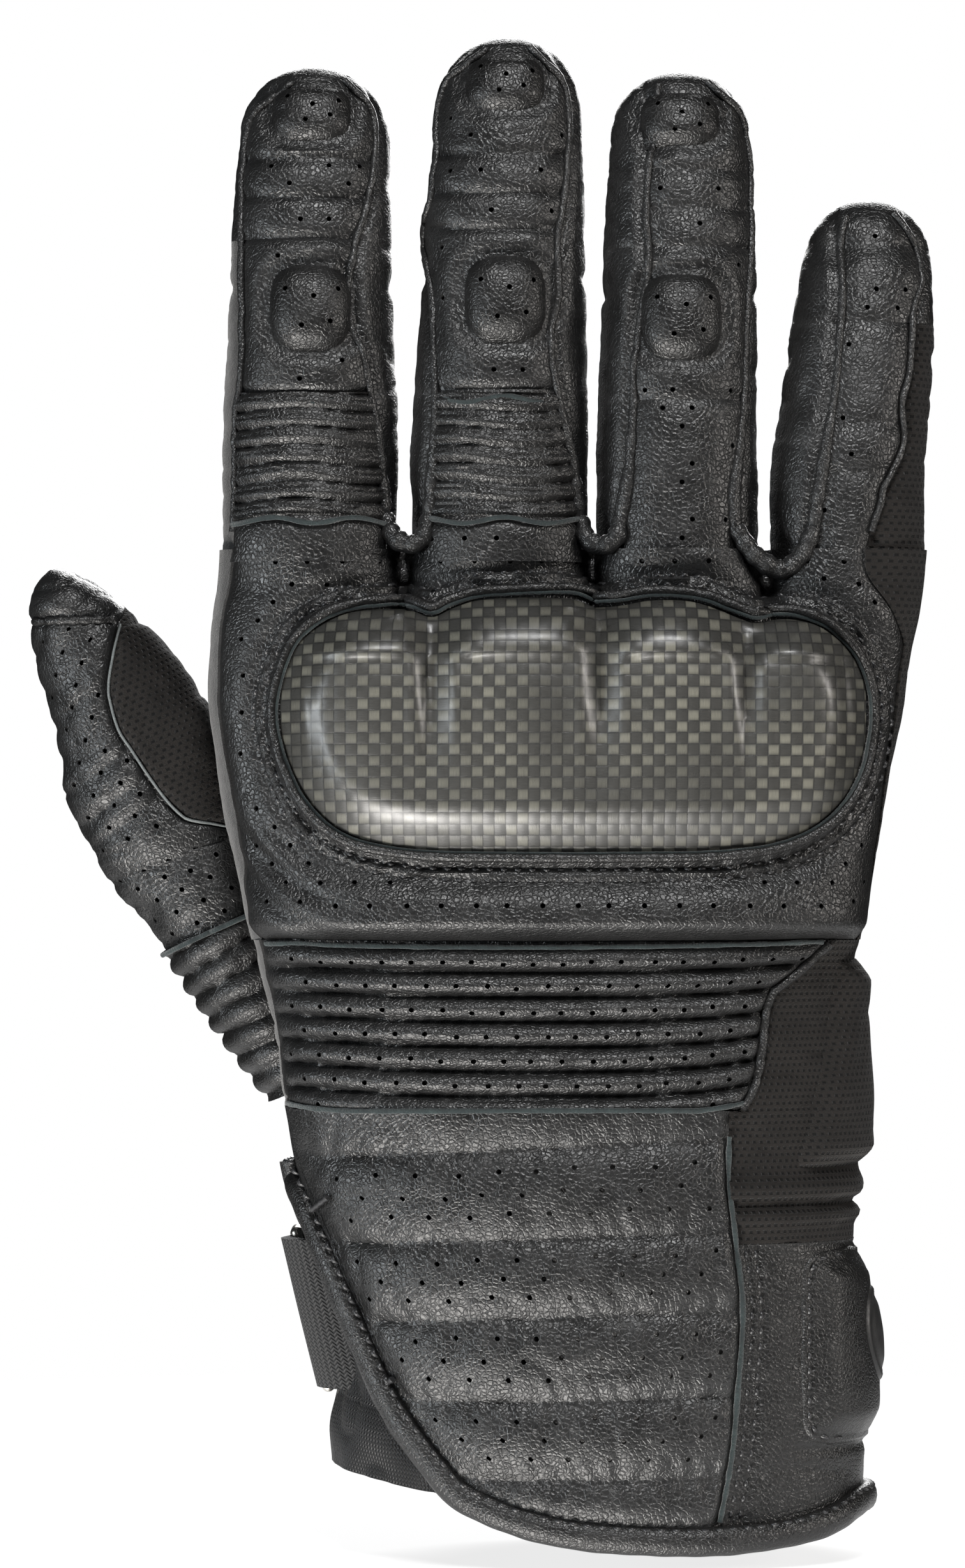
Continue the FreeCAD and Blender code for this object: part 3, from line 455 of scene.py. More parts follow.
def hole_lattice(across, rise, shift, area, origin=(0.0, 0.0)):
    """Centres of a slanted lattice of holes over area (x low, x high, z low, z high)."""
    centres = []
    first, last = math.floor((area[2] - origin[1]) / rise), math.ceil((area[3] - origin[1]) / rise)
    for row in range(first, last + 1):
        z = origin[1] + row * rise
        start = origin[0] + (row * shift) % across
        for k in range(math.floor((area[0] - start) / across),
                       math.ceil((area[1] - start) / across) + 1):
            centres.append((start + k * across, z))
    return centres


def cord(name, path, normals, radius, finish, slot=None, sides=10, flat=1.0, closed=False):
    """A round or flattened cord along world points; radius is one number or one per point."""
    path = np.asarray(path, float)
    radius = np.broadcast_to(np.asarray(radius, float), (len(path),))
    ahead = np.roll(path, -1, axis=0) - np.roll(path, 1, axis=0)
    if not closed:
        ahead[0], ahead[-1] = path[1] - path[0], path[-1] - path[-2]
    ahead /= np.linalg.norm(ahead, axis=1, keepdims=True)
    normals = normals - np.sum(normals * ahead, axis=1, keepdims=True) * ahead
    normals /= np.maximum(np.linalg.norm(normals, axis=1, keepdims=True), 1e-9)
    across = np.cross(ahead, normals)
    turn = np.linspace(0, TURN, sides + 1)[:-1]
    rings = (path[:, None, :]
             + (radius[:, None] * np.cos(turn))[..., None] * across[:, None, :]
             + (radius[:, None] * np.sin(turn) * flat)[..., None] * normals[:, None, :])
    verts = rings.reshape(-1, 3)
    number = np.arange(len(verts)).reshape(len(path), sides)
    if closed:
        number = np.vstack([number, number[:1]])
    quads = grid_faces(number[:, ::-1], closed=True)
    faces = [quads]
    if not closed:
        faces += [number[:1], number[-1:, ::-1]]
    reach = np.cumsum(np.concatenate([[0], np.linalg.norm(np.diff(path, axis=0), axis=1)]))
    uv = np.stack(np.broadcast_arrays(turn[None, :] * radius[:, None], reach[:, None]), axis=-1)
    return build(name, verts, faces, finish, uv.reshape(-1, 2), slot)


class Thread:
    """Gathers stitches of one body into one piece."""

    def __init__(self):
        self.verts, self.quads, self.caps, self.count = [], [], [], 0

    def run(self, line, lay, pitch=2.4, gap=0.7, radius=0.33):
        """Stitches along an (x, z) line; lay(points, lift) gives places and normals."""
        line = resample(np.asarray(line, float), 0.2)
        reach = np.concatenate([[0], np.cumsum(np.linalg.norm(np.diff(line, axis=0), axis=1))])
        total = int(reach[-1] / pitch)
        if total < 1:
            return
        starts = (np.arange(total) + 0.5) * reach[-1] / total - (pitch - gap) / 2
        shares = np.linspace(0, 1, 5)
        lifts = np.array([-0.35, 0.12, 0.24, 0.12, -0.35])
        at = starts[:, None] + shares[None, :] * (pitch - gap)
        spots = np.stack([np.interp(at, reach, column) for column in line.T], axis=-1)
        base, normal = lay(spots.reshape(-1, line.shape[1]), 0.0)
        base = (base + normal * np.tile(lifts, total)[:, None]).reshape(total, 5, 3)
        normal = normal.reshape(total, 5, 3)
        ahead = base[:, -1:] - base[:, :1]
        ahead = ahead / np.linalg.norm(ahead, axis=-1, keepdims=True)
        across = np.cross(ahead, normal)
        across /= np.linalg.norm(across, axis=-1, keepdims=True)
        sides = 6
        turn = np.linspace(0, TURN, sides + 1)[:-1]
        thick = radius * np.array([0.6, 1, 1.1, 1, 0.6])
        rings = (base[:, :, None, :]
                 + thick[None, :, None, None] * (np.cos(turn)[:, None] * across[:, :, None, :]
                                                 + np.sin(turn)[:, None] * normal[:, :, None, :]))
        number = np.arange(total * 5 * sides).reshape(total, 5, sides) + self.count
        for stitch in number:
            self.quads.append(grid_faces(stitch[:, ::-1], closed=True))
            self.caps.append(stitch[:1])
            self.caps.append(stitch[-1:, ::-1])
        self.verts.append(rings.reshape(-1, 3))
        self.count += total * 5 * sides

    def make(self, name, finish):
        verts = np.vstack(self.verts)
        uv = np.stack([verts[:, 0], verts[:, 2]], axis=1)
        return build(name, verts, [np.vstack(self.quads), np.vstack(self.caps)], finish, uv)


# ------------------------------------------------------------------ materials


class Finish:
    """A node material round one principled shader; places are in millimetres."""

    def __init__(self, name, colour, roughness, **inputs):
        self.material = bpy.data.materials.new(name)
        self.material.use_nodes = True
        self.material.diffuse_color = (*colour, 1)
        self.tree = self.material.node_tree
        self.shader = self.tree.nodes["Principled BSDF"]
        self.set(Base_Color=(*colour, 1), Roughness=roughness, **inputs)
        spot = self.node("TexCoord")
        self.solid = self.vector("SCALE", spot.outputs["Object"], scale=1000.0)
        self.flat = self.node("UVMap", uv_map="surface").outputs[0]

    def set(self, **inputs):
        for name, value in inputs.items():
            self.plug(self.shader.inputs[name.replace("_", " ")], value)

    def plug(self, socket, value):
        if isinstance(value, bpy.types.NodeSocket):
            self.tree.links.new(value, socket)
        else:
            socket.default_value = value

    def node(self, kind, inputs=(), **fields):
        made = self.tree.nodes.new("ShaderNode" + kind)
        for name, value in fields.items():
            setattr(made, name, value)
        for name, value in dict(inputs).items():
            self.plug(made.inputs[name], value)
        return made

    def vector(self, operation, a, b=None, scale=None):
        made = self.node("VectorMath", operation=operation)
        self.plug(made.inputs[0], a)
        if b is not None:
            self.plug(made.inputs[1], b)
        if scale is not None:
            self.plug(made.inputs["Scale"], scale)
        return made.outputs[0]

    def math(self, operation, *values):
        made = self.node("Math", operation=operation)
        for socket, value in zip(made.inputs, values):
            self.plug(socket, value)
        return made.outputs[0]

    def ramp(self, value, low, high, start=0.0, end=1.0):
        made = self.node("MapRange", {"Value": value, "From Min": low, "From Max": high,
                                      "To Min": start, "To Max": end})
        return made.outputs[0]

    def mix(self, share, first, second):
        made = self.node("Mix", data_type="RGBA")
        self.plug(made.inputs[0], share)
        for socket, value in zip((made.inputs[6], made.inputs[7]), (first, second)):
            self.plug(socket, (*value, 1) if isinstance(value, tuple) else value)
        return made.outputs[2]

    def speckle(self, scale, detail=3.0, distortion=0.0):
        """Noise whose lumps are about scale across."""
        return self.node("TexNoise", {"Vector": self.solid, "Scale": 1 / scale,
                                      "Detail": detail, "Distortion": distortion}).outputs[0]

    def cells(self, size, where):
        """Distance to the nearest border between cells of this size."""
        return self.node("TexVoronoi", {"Vector": where, "Scale": 1 / size},
                         feature="DISTANCE_TO_EDGE").outputs["Distance"]

    def bump(self, height, depth):
        """depth is how high the relief's brightest point stands, in millimetres."""
        made = self.node("Bump", {"Height": height, "Strength": 1.0, "Distance": depth * MM})
        self.set(Normal=made.outputs[0])


def leather(name, colour, roughness, grain, depth):
    """Pebbled leather: grain is the size of a pebble, depth how far its creases go in."""
    made = Finish(name, colour, roughness, Specular_IOR_Level=0.5)
    wobble = made.node("TexNoise", {"Vector": made.solid, "Scale": 0.7}).outputs[1]
    where = made.vector("ADD", made.solid, made.vector("SCALE", wobble, scale=0.9))
    pebble = made.ramp(made.cells(grain, where), 0.0, 0.22)
    fine = made.speckle(grain * 0.35, 4.0)
    height = made.math("ADD", made.math("MULTIPLY", pebble, 0.7), made.math("MULTIPLY", fine, 0.5))
    made.bump(height, depth)
    patches = made.ramp(made.speckle(14.0, 2.0), 0.35, 0.7)
    # Ridges found by pointiness are lightened: partly rubbed wear on the leather, partly a painted
    # highlight on the ridge tops.
    ridge_wear_and_highlight = made.ramp(made.node("NewGeometry").outputs["Pointiness"], 0.505, 0.56)
    light = tuple(c * 1.7 + 0.003 for c in colour)
    base = made.mix(made.math("MULTIPLY", patches, 0.35), colour, light)
    rubbed_and_highlit_colour = tuple(c * 2.2 + 0.006 for c in colour)
    base_with_wear_and_highlight = made.mix(made.math("MULTIPLY", ridge_wear_and_highlight, 0.35), base, rubbed_and_highlit_colour)
    made.set(Base_Color=base_with_wear_and_highlight,
             Roughness=made.math("ADD", made.ramp(made.speckle(5.0), 0.3, 0.7, -0.06, 0.07),
                                 made.math("ADD", made.math("MULTIPLY", pebble, -0.05),
                                           roughness)))
    return made.material


def suede(name, colour, nap=0.22, tint=None):
    made = Finish(name, colour, 0.98, Specular_IOR_Level=0.12, Sheen_Weight=0.25,
                  Sheen_Roughness=0.6)
    fuzz = made.speckle(nap, 5.0)
    patch = made.ramp(made.speckle(2.4, 3.0), 0.35, 0.7)
    made.bump(made.math("ADD", fuzz, made.math("MULTIPLY", patch, 0.5)), 0.16)
    light = tint or tuple(c * 2.2 + 0.008 for c in colour)
    made.set(Base_Color=made.mix(made.math("MULTIPLY", patch, made.ramp(fuzz, 0.3, 0.8)),
                                 colour, light))
    return made.material


def split_flat(made):
    parts = made.node("SeparateXYZ", {"Vector": made.flat})
    return parts.outputs[0], parts.outputs[1]


def wave(made, value, pitch):
    """Sine between 0 and 1 with the given pitch."""
    angle = made.math("MULTIPLY", value, TURN / pitch)
    return made.math("MULTIPLY_ADD", made.math("SINE", angle), 0.5, 0.5)


def mesh_knit(name, colour, light, across=1.15, along=0.8):
    """Stretch mesh: staggered cells between crossing yarns, over a darker ground; the openings'
    near-black is partly that ground and partly painted shade.
    """
    made = Finish(name, colour, 0.85, Specular_IOR_Level=0.18, Sheen_Weight=0.06)
    u, v = split_flat(made)
    row = made.math("FLOOR", made.math("DIVIDE", v, along))
    stagger = made.math("MULTIPLY", made.math("MODULO", row, 2.0), across / 2)
    wide = wave(made, made.math("ADD", u, stagger), across)
    tall = wave(made, v, along)
    opening = made.math("MULTIPLY", made.ramp(wide, 0.35, 0.75), made.ramp(tall, 0.3, 0.8))
    fine = made.speckle(0.25, 3.0)
    height = made.math("SUBTRACT", made.math("MULTIPLY", fine, 0.35), opening)
    made.bump(height, 0.5)
    # Openings are painted near-black: partly the darker ground under the mesh, partly painted
    # shade inside the holes.
    shade = made.mix(opening, light, colour)
    made.set(Base_Color=made.mix(made.ramp(made.speckle(6.0), 0.3, 0.75, 0.0, 0.4), shade,
                                 tuple(c * 0.5 for c in colour)))
    return made.material


def webbing_weave(name, colour):
    """Woven tape: raised yarns in short slanted steps."""
    pitch, rib = 1.3, 0.7
    made = Finish(name, colour, 0.62, Specular_IOR_Level=0.35, Sheen_Weight=0.05)
    u, v = split_flat(made)
    slant = made.math("ADD", v, made.math("MULTIPLY", made.math("ABSOLUTE", made.math(
        "SUBTRACT", made.math("PINGPONG", u, pitch), pitch / 2)), 0.9))
    yarn = made.math("POWER", wave(made, slant, rib), 0.6)
    column = wave(made, u, pitch)
    height = made.math("ADD", yarn, made.math("MULTIPLY", column, 0.5))
    made.bump(height, 0.22)
    # The colour follows the weave's height: painted shade in the valleys between yarns, a painted
    # highlight on the yarns' crests.
    made.set(Base_Color=made.mix(made.ramp(height, 0.2, 1.3), tuple(c * 0.4 for c in colour),
                                 tuple(c * 1.9 + 0.006 for c in colour)))
    return made.material


def jersey_knit(name, colour):
    made = Finish(name, colour, 0.48, Specular_IOR_Level=0.3, Sheen_Weight=0.03,
                  Sheen_Roughness=0.35)
    u, v = split_flat(made)
    wale = wave(made, made.math("ADD", u, made.math("MULTIPLY", wave(made, v, 0.7), 0.12)), 0.55)
    made.bump(made.math("MULTIPLY", wale, made.ramp(wave(made, v, 0.7), 0, 1, 0.6, 1.0)), 0.14)
    return made.material


def tape_fuzz(name, colour, hooks):
    """Hook tape has a grid of short stubs, loop tape a tangle."""
    made = Finish(name, colour, 0.8, Specular_IOR_Level=0.3, Sheen_Weight=0.0 if hooks else 0.5)
    u, v = split_flat(made)
    if hooks:
        height = made.math("MULTIPLY", made.ramp(wave(made, u, 1.0), 0.5, 0.9),
                           made.ramp(wave(made, v, 1.2), 0.5, 0.9))
        made.bump(height, 0.5)
    else:
        height = made.speckle(0.5, 6.0, distortion=2.5)
        made.bump(height, 0.4)
    # On hook tape the stubs are painted lighter and the ground between them darker, a painted
    # highlight and painted shade; on loop tape the same mix gives the tangle random lighter and
    # darker tone.
    made.set(Base_Color=made.mix(made.ramp(height, 0.2, 0.8), colour,
                                 tuple(c * 2.5 + 0.01 for c in colour)))
    return made.material


def carbon_weave(name):
    """Plain weave of flat tows under a scuffed clear coat; the bright squares are painted
    reflection.
    """
    tow = 1.84
    made = Finish(name, (0.03, 0.03, 0.028), 0.45, Coat_Weight=0.55, Coat_Roughness=0.3,
                  Specular_IOR_Level=0.5)
    u, v = split_flat(made)
    au, av = made.math("DIVIDE", u, tow), made.math("DIVIDE", v, tow)
    parity = made.math("MODULO", made.math("ADD", made.math("FLOOR", au),
                                           made.math("FLOOR", av)), 2.0)
    parity = made.math("ABSOLUTE", parity)
    fu, fv = made.math("FRACT", au), made.math("FRACT", av)
    arch_u = made.math("SINE", made.math("MULTIPLY", fu, math.pi))
    arch_v = made.math("SINE", made.math("MULTIPLY", fv, math.pi))
    along = made.node("Mix", {0: parity, 2: arch_u, 3: arch_v}, data_type="FLOAT").outputs[0]
    across = made.node("Mix", {0: parity, 2: arch_v, 3: arch_u}, data_type="FLOAT").outputs[0]
    height = made.math("ADD", made.math("MULTIPLY", along, 0.8),
                       made.math("MULTIPLY", made.math("POWER", across, 0.35), 0.6))
    stretch_u = made.vector("MULTIPLY", made.flat, (9.0, 0.6, 1.0))
    stretch_v = made.vector("MULTIPLY", made.flat, (0.6, 9.0, 1.0))
    fibres = made.node("Mix", {
        0: parity,
        2: made.node("TexNoise", {"Vector": stretch_v, "Scale": 1.0}).outputs[0],
        3: made.node("TexNoise", {"Vector": stretch_u, "Scale": 1.0}).outputs[0],
    }, data_type="FLOAT").outputs[0]
    made.bump(made.math("ADD", height, made.math("MULTIPLY", fibres, 0.25)), 0.10)
    # The squares of one tow direction are painted bright, brightest on the tows' crests: a painted
    # reflection of the lights on the weave, not the fibre's own colour.
    dark = made.mix(fibres, (0.016, 0.016, 0.015), (0.040, 0.039, 0.035))
    light = made.mix(fibres, (0.08, 0.078, 0.066), (0.17, 0.165, 0.132))
    # Large lumps where the painted reflection is stronger, standing for the coat's broad hazy
    # highlights.
    painted_highlight_patches = made.ramp(made.speckle(20.0, 2.0), 0.36, 0.64, 0.12, 1.0)
    lit = made.math("MULTIPLY", made.math("MULTIPLY", parity, painted_highlight_patches),
                    made.ramp(along, 0.1, 0.9, 0.35, 1.0))
    base = made.mix(lit, dark, light)
    seam = made.ramp(made.math("MINIMUM", arch_u, arch_v), 0.0, 0.35)
    made.set(Base_Color=made.mix(seam, (0.012, 0.012, 0.011), base),
             Coat_Roughness=made.ramp(made.speckle(3.0, 5.0), 0.35, 0.7, 0.24, 0.42))
    return made.material


def plain(name, colour, roughness, lump=0.4, depth=0.05, **inputs):
    """Thread, foam or metal: a colour broken up by fine noise."""
    made = Finish(name, colour, roughness, **inputs)
    grain = made.speckle(lump, 4.0)
    made.bump(grain, depth)
    made.set(Base_Color=made.mix(made.ramp(grain, 0.3, 0.7), tuple(c * 0.7 for c in colour),
                                 tuple(min(1.0, c * 1.3) for c in colour)),
             Roughness=made.ramp(made.speckle(lump * 6, 3.0), 0.3, 0.7, roughness * 0.85,
                                 min(1.0, roughness * 1.15)))
    return made.material


BACK = leather("back_leather", (0.0066, 0.0066, 0.0067), 0.40, 0.78, 0.080)
PALM = leather("palm_leather", (0.0095, 0.0090, 0.0086), 0.52, 1.0, 0.10)
PLAIN = leather("plain_leather", (0.0036, 0.0035, 0.0035), 0.42, 0.7, 0.070)
SUEDE = suede("edge_suede", (0.0065, 0.0065, 0.0068))
RAW = suede("raw_edge", (0.007, 0.012, 0.013), 0.3, (0.024, 0.038, 0.038))
MESH = mesh_knit("side_mesh", (0.0006, 0.0005, 0.0005), (0.0125, 0.0108, 0.0097), 1.5, 1.05)
WEBBING = webbing_weave("strap_webbing", (0.0055, 0.0055, 0.0058))
JERSEY = jersey_knit("inner_jersey", (0.0022, 0.0022, 0.0026))
LOOPS = tape_fuzz("loop_tape", (0.010, 0.010, 0.010), False)
HOOKS = tape_fuzz("hook_tape", (0.012, 0.012, 0.012), True)
CARBON = carbon_weave("carbon_weave")
THREAD = plain("black_thread", (0.016, 0.016, 0.017), 0.36, 0.3, 0.06)
PALE_THREAD = plain("pale_thread", (0.10, 0.11, 0.11), 0.6, 0.3, 0.05)
FOAM = plain("grey_foam", (0.05, 0.05, 0.05), 0.9, 0.5, 0.2)
STEEL = plain("ring_steel", (0.62, 0.60, 0.56), 0.28, 0.8, 0.01, Metallic=1.0)


# ------------------------------------------------------------------ fingers


FINGER_POWER = 2.15


def joint_spot(name):
    return np.array(JOINTS[name]["pos_m"]) / MM


class Finger:
    """One finger's form, seams and split heights, measured from its CAD pieces."""

    def __init__(self, name, seam_left, seam_right, quilts, zones):
        self.name = name
        self.hinges = [joint_spot(f"{name}_{title}") for title in ("knuckle", "middle", "tip")]
        self.top = box(f"{name}_tip")[1][2]
        self.root = box("finger_roots")[0][2]
        self.zones = [(hinge[2] - half, hinge[2] + half)
                      for hinge, half in zip(self.hinges, zones)]
        self.seams = (spline(seam_left, 1.0), spline(seam_right, 1.0))
        self.quilts = quilts
        tree = tree_of(f"{name}_base", f"{name}_mid", f"{name}_tip")
        rows = [self.measure(tree, hinge[2] + 1.2, hinge[0], hinge[1]) for hinge in self.hinges]
        end = self.top - 8.5
        below = self.measure(tree, end, rows[-1][1], self.hinges[2][1] + 3.0)
        palm = touch(tree, (below[1], FAR, end), (0, -1, 0)).y
        front = touch(tree, (below[1], -FAR, end), (0, 1, 0)).y
        below[2], below[4] = (front + palm) / 2, (palm - front) / 2 * 1.08
        below[3] *= 1.08
        base = list(rows[0])
        base[0], base[2] = self.root - 8, 0.5
        self.form = Form([base, [self.root, *base[1:]], *rows, below],
                         middle=self.hinges[1][2])
        self.form.table[:, 5] = FINGER_POWER
        raw, top, start = self.form.raw, self.top, self.top - below[3] * 0.98

        def domed(angle, z):
            share = np.clip((z - start) / (top - start), 0, 0.99995)
            scale = (1 - share ** 2.1) ** (1 / 2.1)
            found = raw(angle, z)
            cx, cy = self.form.section(z)[:2]
            found[..., 0] = cx + (found[..., 0] - cx) * scale
            found[..., 1] = cy + (found[..., 1] - cy) * scale
            return found

        self.form.raw = domed
        self.start = start

    @staticmethod
    def measure(tree, z, x, y):
        left = touch(tree, (-FAR, y - 0.4, z), (1, 0, 0)).x
        right = touch(tree, (FAR, y - 0.4, z), (-1, 0, 0)).x
        front = touch(tree, (x, -FAR, z), (0, 1, 0)).y
        return [z, (left + right) / 2, y, (right - left) / 2, y - front, 2.0]

    def heights(self, low, high):
        step = 0.75
        if high < self.top:
            return np.linspace(low, high, int((high - low) / step) + 1)
        plain = np.linspace(low, self.start, int((self.start - low) / step) + 1)
        turn = np.linspace(0, math.pi / 2, int((self.top - self.start) * 1.7 / step))[1:]
        return np.concatenate([plain, self.start + (self.top - self.start) * np.sin(turn)])


def down(x_top, *pairs):
    """Points given from the top downwards, turned to run upwards."""
    return [x_top, *pairs][::-1]


INDEX = Finger(
    "index",
    down((-46.5, 243.5), (-50.5, 240), (-52.8, 234), (-53.4, 226), (-53.3, 212), (-53.2, 196),
         (-54.2, 186), (-54.6, 165)),
    down((-33.5, 243.8), (-31.4, 239.5), (-30.9, 232), (-31.8, 224), (-34.0, 216), (-35.1, 209),
         (-34.6, 203), (-32.6, 196.5), (-30.6, 187), (-29.4, 178), (-28.6, 165)),
    (230.2, 223.8, 217.0, 190.6), (11, 11.4, 8.6))
MIDDLE = Finger(
    "middle",
    down((-14.5, 249.2), (-18.6, 245.5), (-20.8, 239), (-21.1, 231), (-21.7, 224), (-23.1, 217.5),
         (-22.0, 210), (-21.4, 203), (-21.1, 194), (-21.1, 185), (-21.5, 177), (-22.6, 165)),
    down((-2.8, 249.4), (0.2, 245), (1.5, 238), (1.2, 230), (0.6, 223), (-0.5, 216), (-0.5, 207),
         (-1.6, 198.5), (0.0, 189), (2.0, 180), (3.6, 165)),
    (230.9, 224.4, 218.4, 191.6), (11, 11.4, 8.6))
RING = Finger(
    "ring",
    down((14.6, 243.0), (15.8, 238), (14.6, 229), (14.1, 221), (14.5, 212.5), (12.9, 203.5),
         (12.0, 194.5), (11.6, 185), (10.9, 176), (9.0, 165)),
    down((27.0, 243.4), (30.2, 239), (31.8, 231), (32.0, 222), (31.6, 212), (31.0, 203),
         (30.8, 194), (30.0, 184), (28.6, 173), (29.6, 162)),
    (228.4, 221.9, 215.2, 189.9), (11, 11.4, 8.6))
LITTLE = Finger(
    "little",
    down((46.6, 221.0), (46.7, 214), (46.9, 208), (46.3, 201), (45.6, 193), (44.3, 185),
         (42.6, 175), (40.6, 161)),
    down((57.5, 221.5), (59.6, 216), (60.4, 210), (58.8, 204.8), (58.2, 195.5), (56.7, 189.5),
         (57.1, 183.3), (55.4, 178.6), (53.4, 175), (52.9, 172.4), (51.2, 167.4), (50.1, 160)),
    (203.0, 185.8, 177.8), (9.5, 10.0, 6.5))
HANDS = {finger.name: finger for finger in (INDEX, MIDDLE, RING, LITTLE)}


def outline_of(node, wider, taller):
    """Centre x, centre z, half width and half height of a node, grown a little."""
    low, high = box(node)
    return ((low[0] + high[0]) / 2, (low[2] + high[2]) / 2, (high[0] - low[0]) / 2 + wider,
            (high[2] - low[2]) / 2 + taller)


def rounded(x, z, outline, corner=3.6):
    """Signed distance to a rounded rectangle, negative inside."""
    cx, cz, a, b = outline
    dx = np.abs(x - cx) - (a - corner)
    dz = np.abs(z - cz) - (b - corner)
    return (np.hypot(np.maximum(dx, 0), np.maximum(dz, 0)) + np.minimum(np.maximum(dx, dz), 0)
            - corner)


PADS = {name: [outline_of(f"{name}_{title}", 0.4, 0.3) for title in ("middle_pad", "tip_pad")]
        for name in ("index", "middle", "ring")}
RIB_LOW, RIB_HIGH = box("index_stretch_ribs")[0][2], box("index_stretch_ribs")[1][2]


def finger_relief(finger):
    name, hinges = finger.name, finger.hinges
    left, right = finger.seams
    ribbed = name in ("index", "middle")
    sewn = {"ring": 0.5, "little": 0.3}.get(name, 0.75)

    def relief(spot):
        x, z, back, palm = spot.x, spot.z, spot.back, spot.palm
        at_left, at_right = beside(x, z, left), beside(x, z, right)
        inside = np.minimum(-at_left, at_right)
        panel = smooth(-0.2, 0.8, inside)
        seam = -0.85 * (bell(at_left - 0.9, 0.8) + bell(at_right + 0.9, 0.8)) * back
        height = seam + 0.45 * smooth(0, 4, inside) * back
        for level in finger.quilts:
            bow = level + 0.5 * ((x - hinges[1][0]) / 13) ** 2
            height -= sewn * bell(z - bow, 0.75) * panel * back
            height -= 0.18 * bell(z - bow, 2.4) * panel * back
        folds = creases(spot.base, (10, 10, 4.2), 11 + len(name))
        fine = creases(spot.base, (4.5, 4.5, 1.5), 31 + len(name))
        busy = 0.5 + 0.5 * noise(spot.base, 16.0, 5)
        height += 0.42 * folds * (0.35 + 0.65 * (1 - panel)) * busy + 0.14 * fine
        height += 0.30 * lumps(spot.base, 9.0, 3 + len(name))
        for outline in PADS.get(name, ()):
            gap = rounded(x, z, outline)
            height -= (0.55 * bell(gap - 0.7, 0.8) + 0.5 * (gap < 0)) * back
            height += 0.30 * bell(gap - 2.4, 1.1) * back
            ripple = np.sin(z * 3.4 + 0.5 * np.sin(x)) * bell(gap - 2.0, 1.6)
            height += 0.16 * ripple * smooth(outline[3], outline[3] + 2,
                                             np.abs(z - outline[1])) * back
        if ribbed:
            under = smooth(RIB_LOW - 0.5, RIB_LOW + 1, z) * (1 - smooth(RIB_HIGH - 1,
                                                                      RIB_HIGH + 1.2, z))
            height -= 0.8 * under * panel * back
            height += 0.7 * (1 - smooth(RIB_LOW - 2.2, RIB_LOW + 0.2, z)) * panel * back
        for hinge in hinges:
            for offset in (-2.6, 0.0, 2.6):
                height -= 0.55 * bell(z - hinge[2] - offset, 0.7) * palm
        side = 1 - np.maximum(back, palm)
        height -= 0.6 * bell(z - hinges[1][2] - 4, 1.2) * side
        top = smooth(finger.top - 5, finger.top - 1, z)
        return height * (1 - 0.8 * top)

    return relief


for finger in HANDS.values():
    finger.skin = Skin(finger.form, finger_relief(finger))

# ------------------------------------------------------------------ trunk: cuff, wrist and hand


def trunk_sections():
    cuff = tree_of("cuff_palm_panel", "closure_panel", "ulnar_cuff_mesh")
    wrist = tree_of("wrist_palm_panel", "wrist_edge_strip", "ulnar_wrist_mesh")
    hand = tree_of("hand_palm_panel", "suede_edge_strip", "ulnar_mesh_panel")
    plan = [(cuff, 1.0, 2.25, (6, 15, 25, 37, 49, 56, 70)),
            (wrist, 1.0, 2.35, (76, 82, 88, 95)),
            (hand, -1.0, 2.7, (103, 110, 120, 130, 140, 148, 155, 161))]
    rows = []
    for tree, y, power, levels in plan:
        for z in levels:
            left = touch(tree, (-FAR, y, z), (1, 0, 0)).x
            right = touch(tree, (FAR, y, z), (-1, 0, 0)).x
            middle = (left + right) / 2
            depth = touch(tree, (middle, FAR, z), (0, -1, 0)).y
            rows.append([z, middle, 0.0, (right - left) / 2, depth, power])
    rows.insert(0, [0, *rows[0][1:]])
    left = INDEX.form.table[0, 1] - INDEX.form.table[0, 3] - 0.4
    right = LITTLE.form.table[0, 1] + LITTLE.form.table[0, 3] + 0.2
    for row, share in ((rows[-2], 0.3), (rows[-1], 0.75)):
        edges = row[1] - row[3], row[1] + row[3]
        a, b = (old + (new - old) * share for old, new in zip(edges, (left, right)))
        row[1], row[3] = (a + b) / 2, (b - a) / 2
    rows.append([166, (left + right) / 2, 0.0, (right - left) / 2, *rows[-1][4:]])
    return rows


FOREST = [HANDS[name].form.section(np.array(HANDS[name].root + 0.5)) for name in FINGERS]
WEB_LOW, WEB_HIGH = 151.0, box("hand_back_panel")[1][2]


def towards_fingers(found, angle):
    """Draws the top of the hand into the four fingers' roots."""
    x, y, z = found[..., 0], found[..., 1], found[..., 2]
    front = np.zeros(x.shape)
    for cx, _, a, b, _ in FOREST:
        share = np.clip(np.abs(x - cx) / a, 0, 1)
        front = np.maximum(front, b * (1 - share ** FINGER_POWER) ** (1 / FINGER_POWER))
    side = np.sign(np.sin(angle))
    weight = smooth(WEB_LOW, WEB_HIGH, z)
    target = np.where(side < 0, 0.5 - front, 0.5 + front)
    inside = smooth(0.0, 3.0, np.minimum(x - FOREST[0][0] + FOREST[0][2],
                                         FOREST[3][0] + FOREST[3][2] - x))
    weight = weight * inside
    moved = found.copy()
    moved[..., 1] = y * (1 - weight) + target * weight
    return moved


TRUNK = Form(trunk_sections(), middle=140.0, warp=towards_fingers)

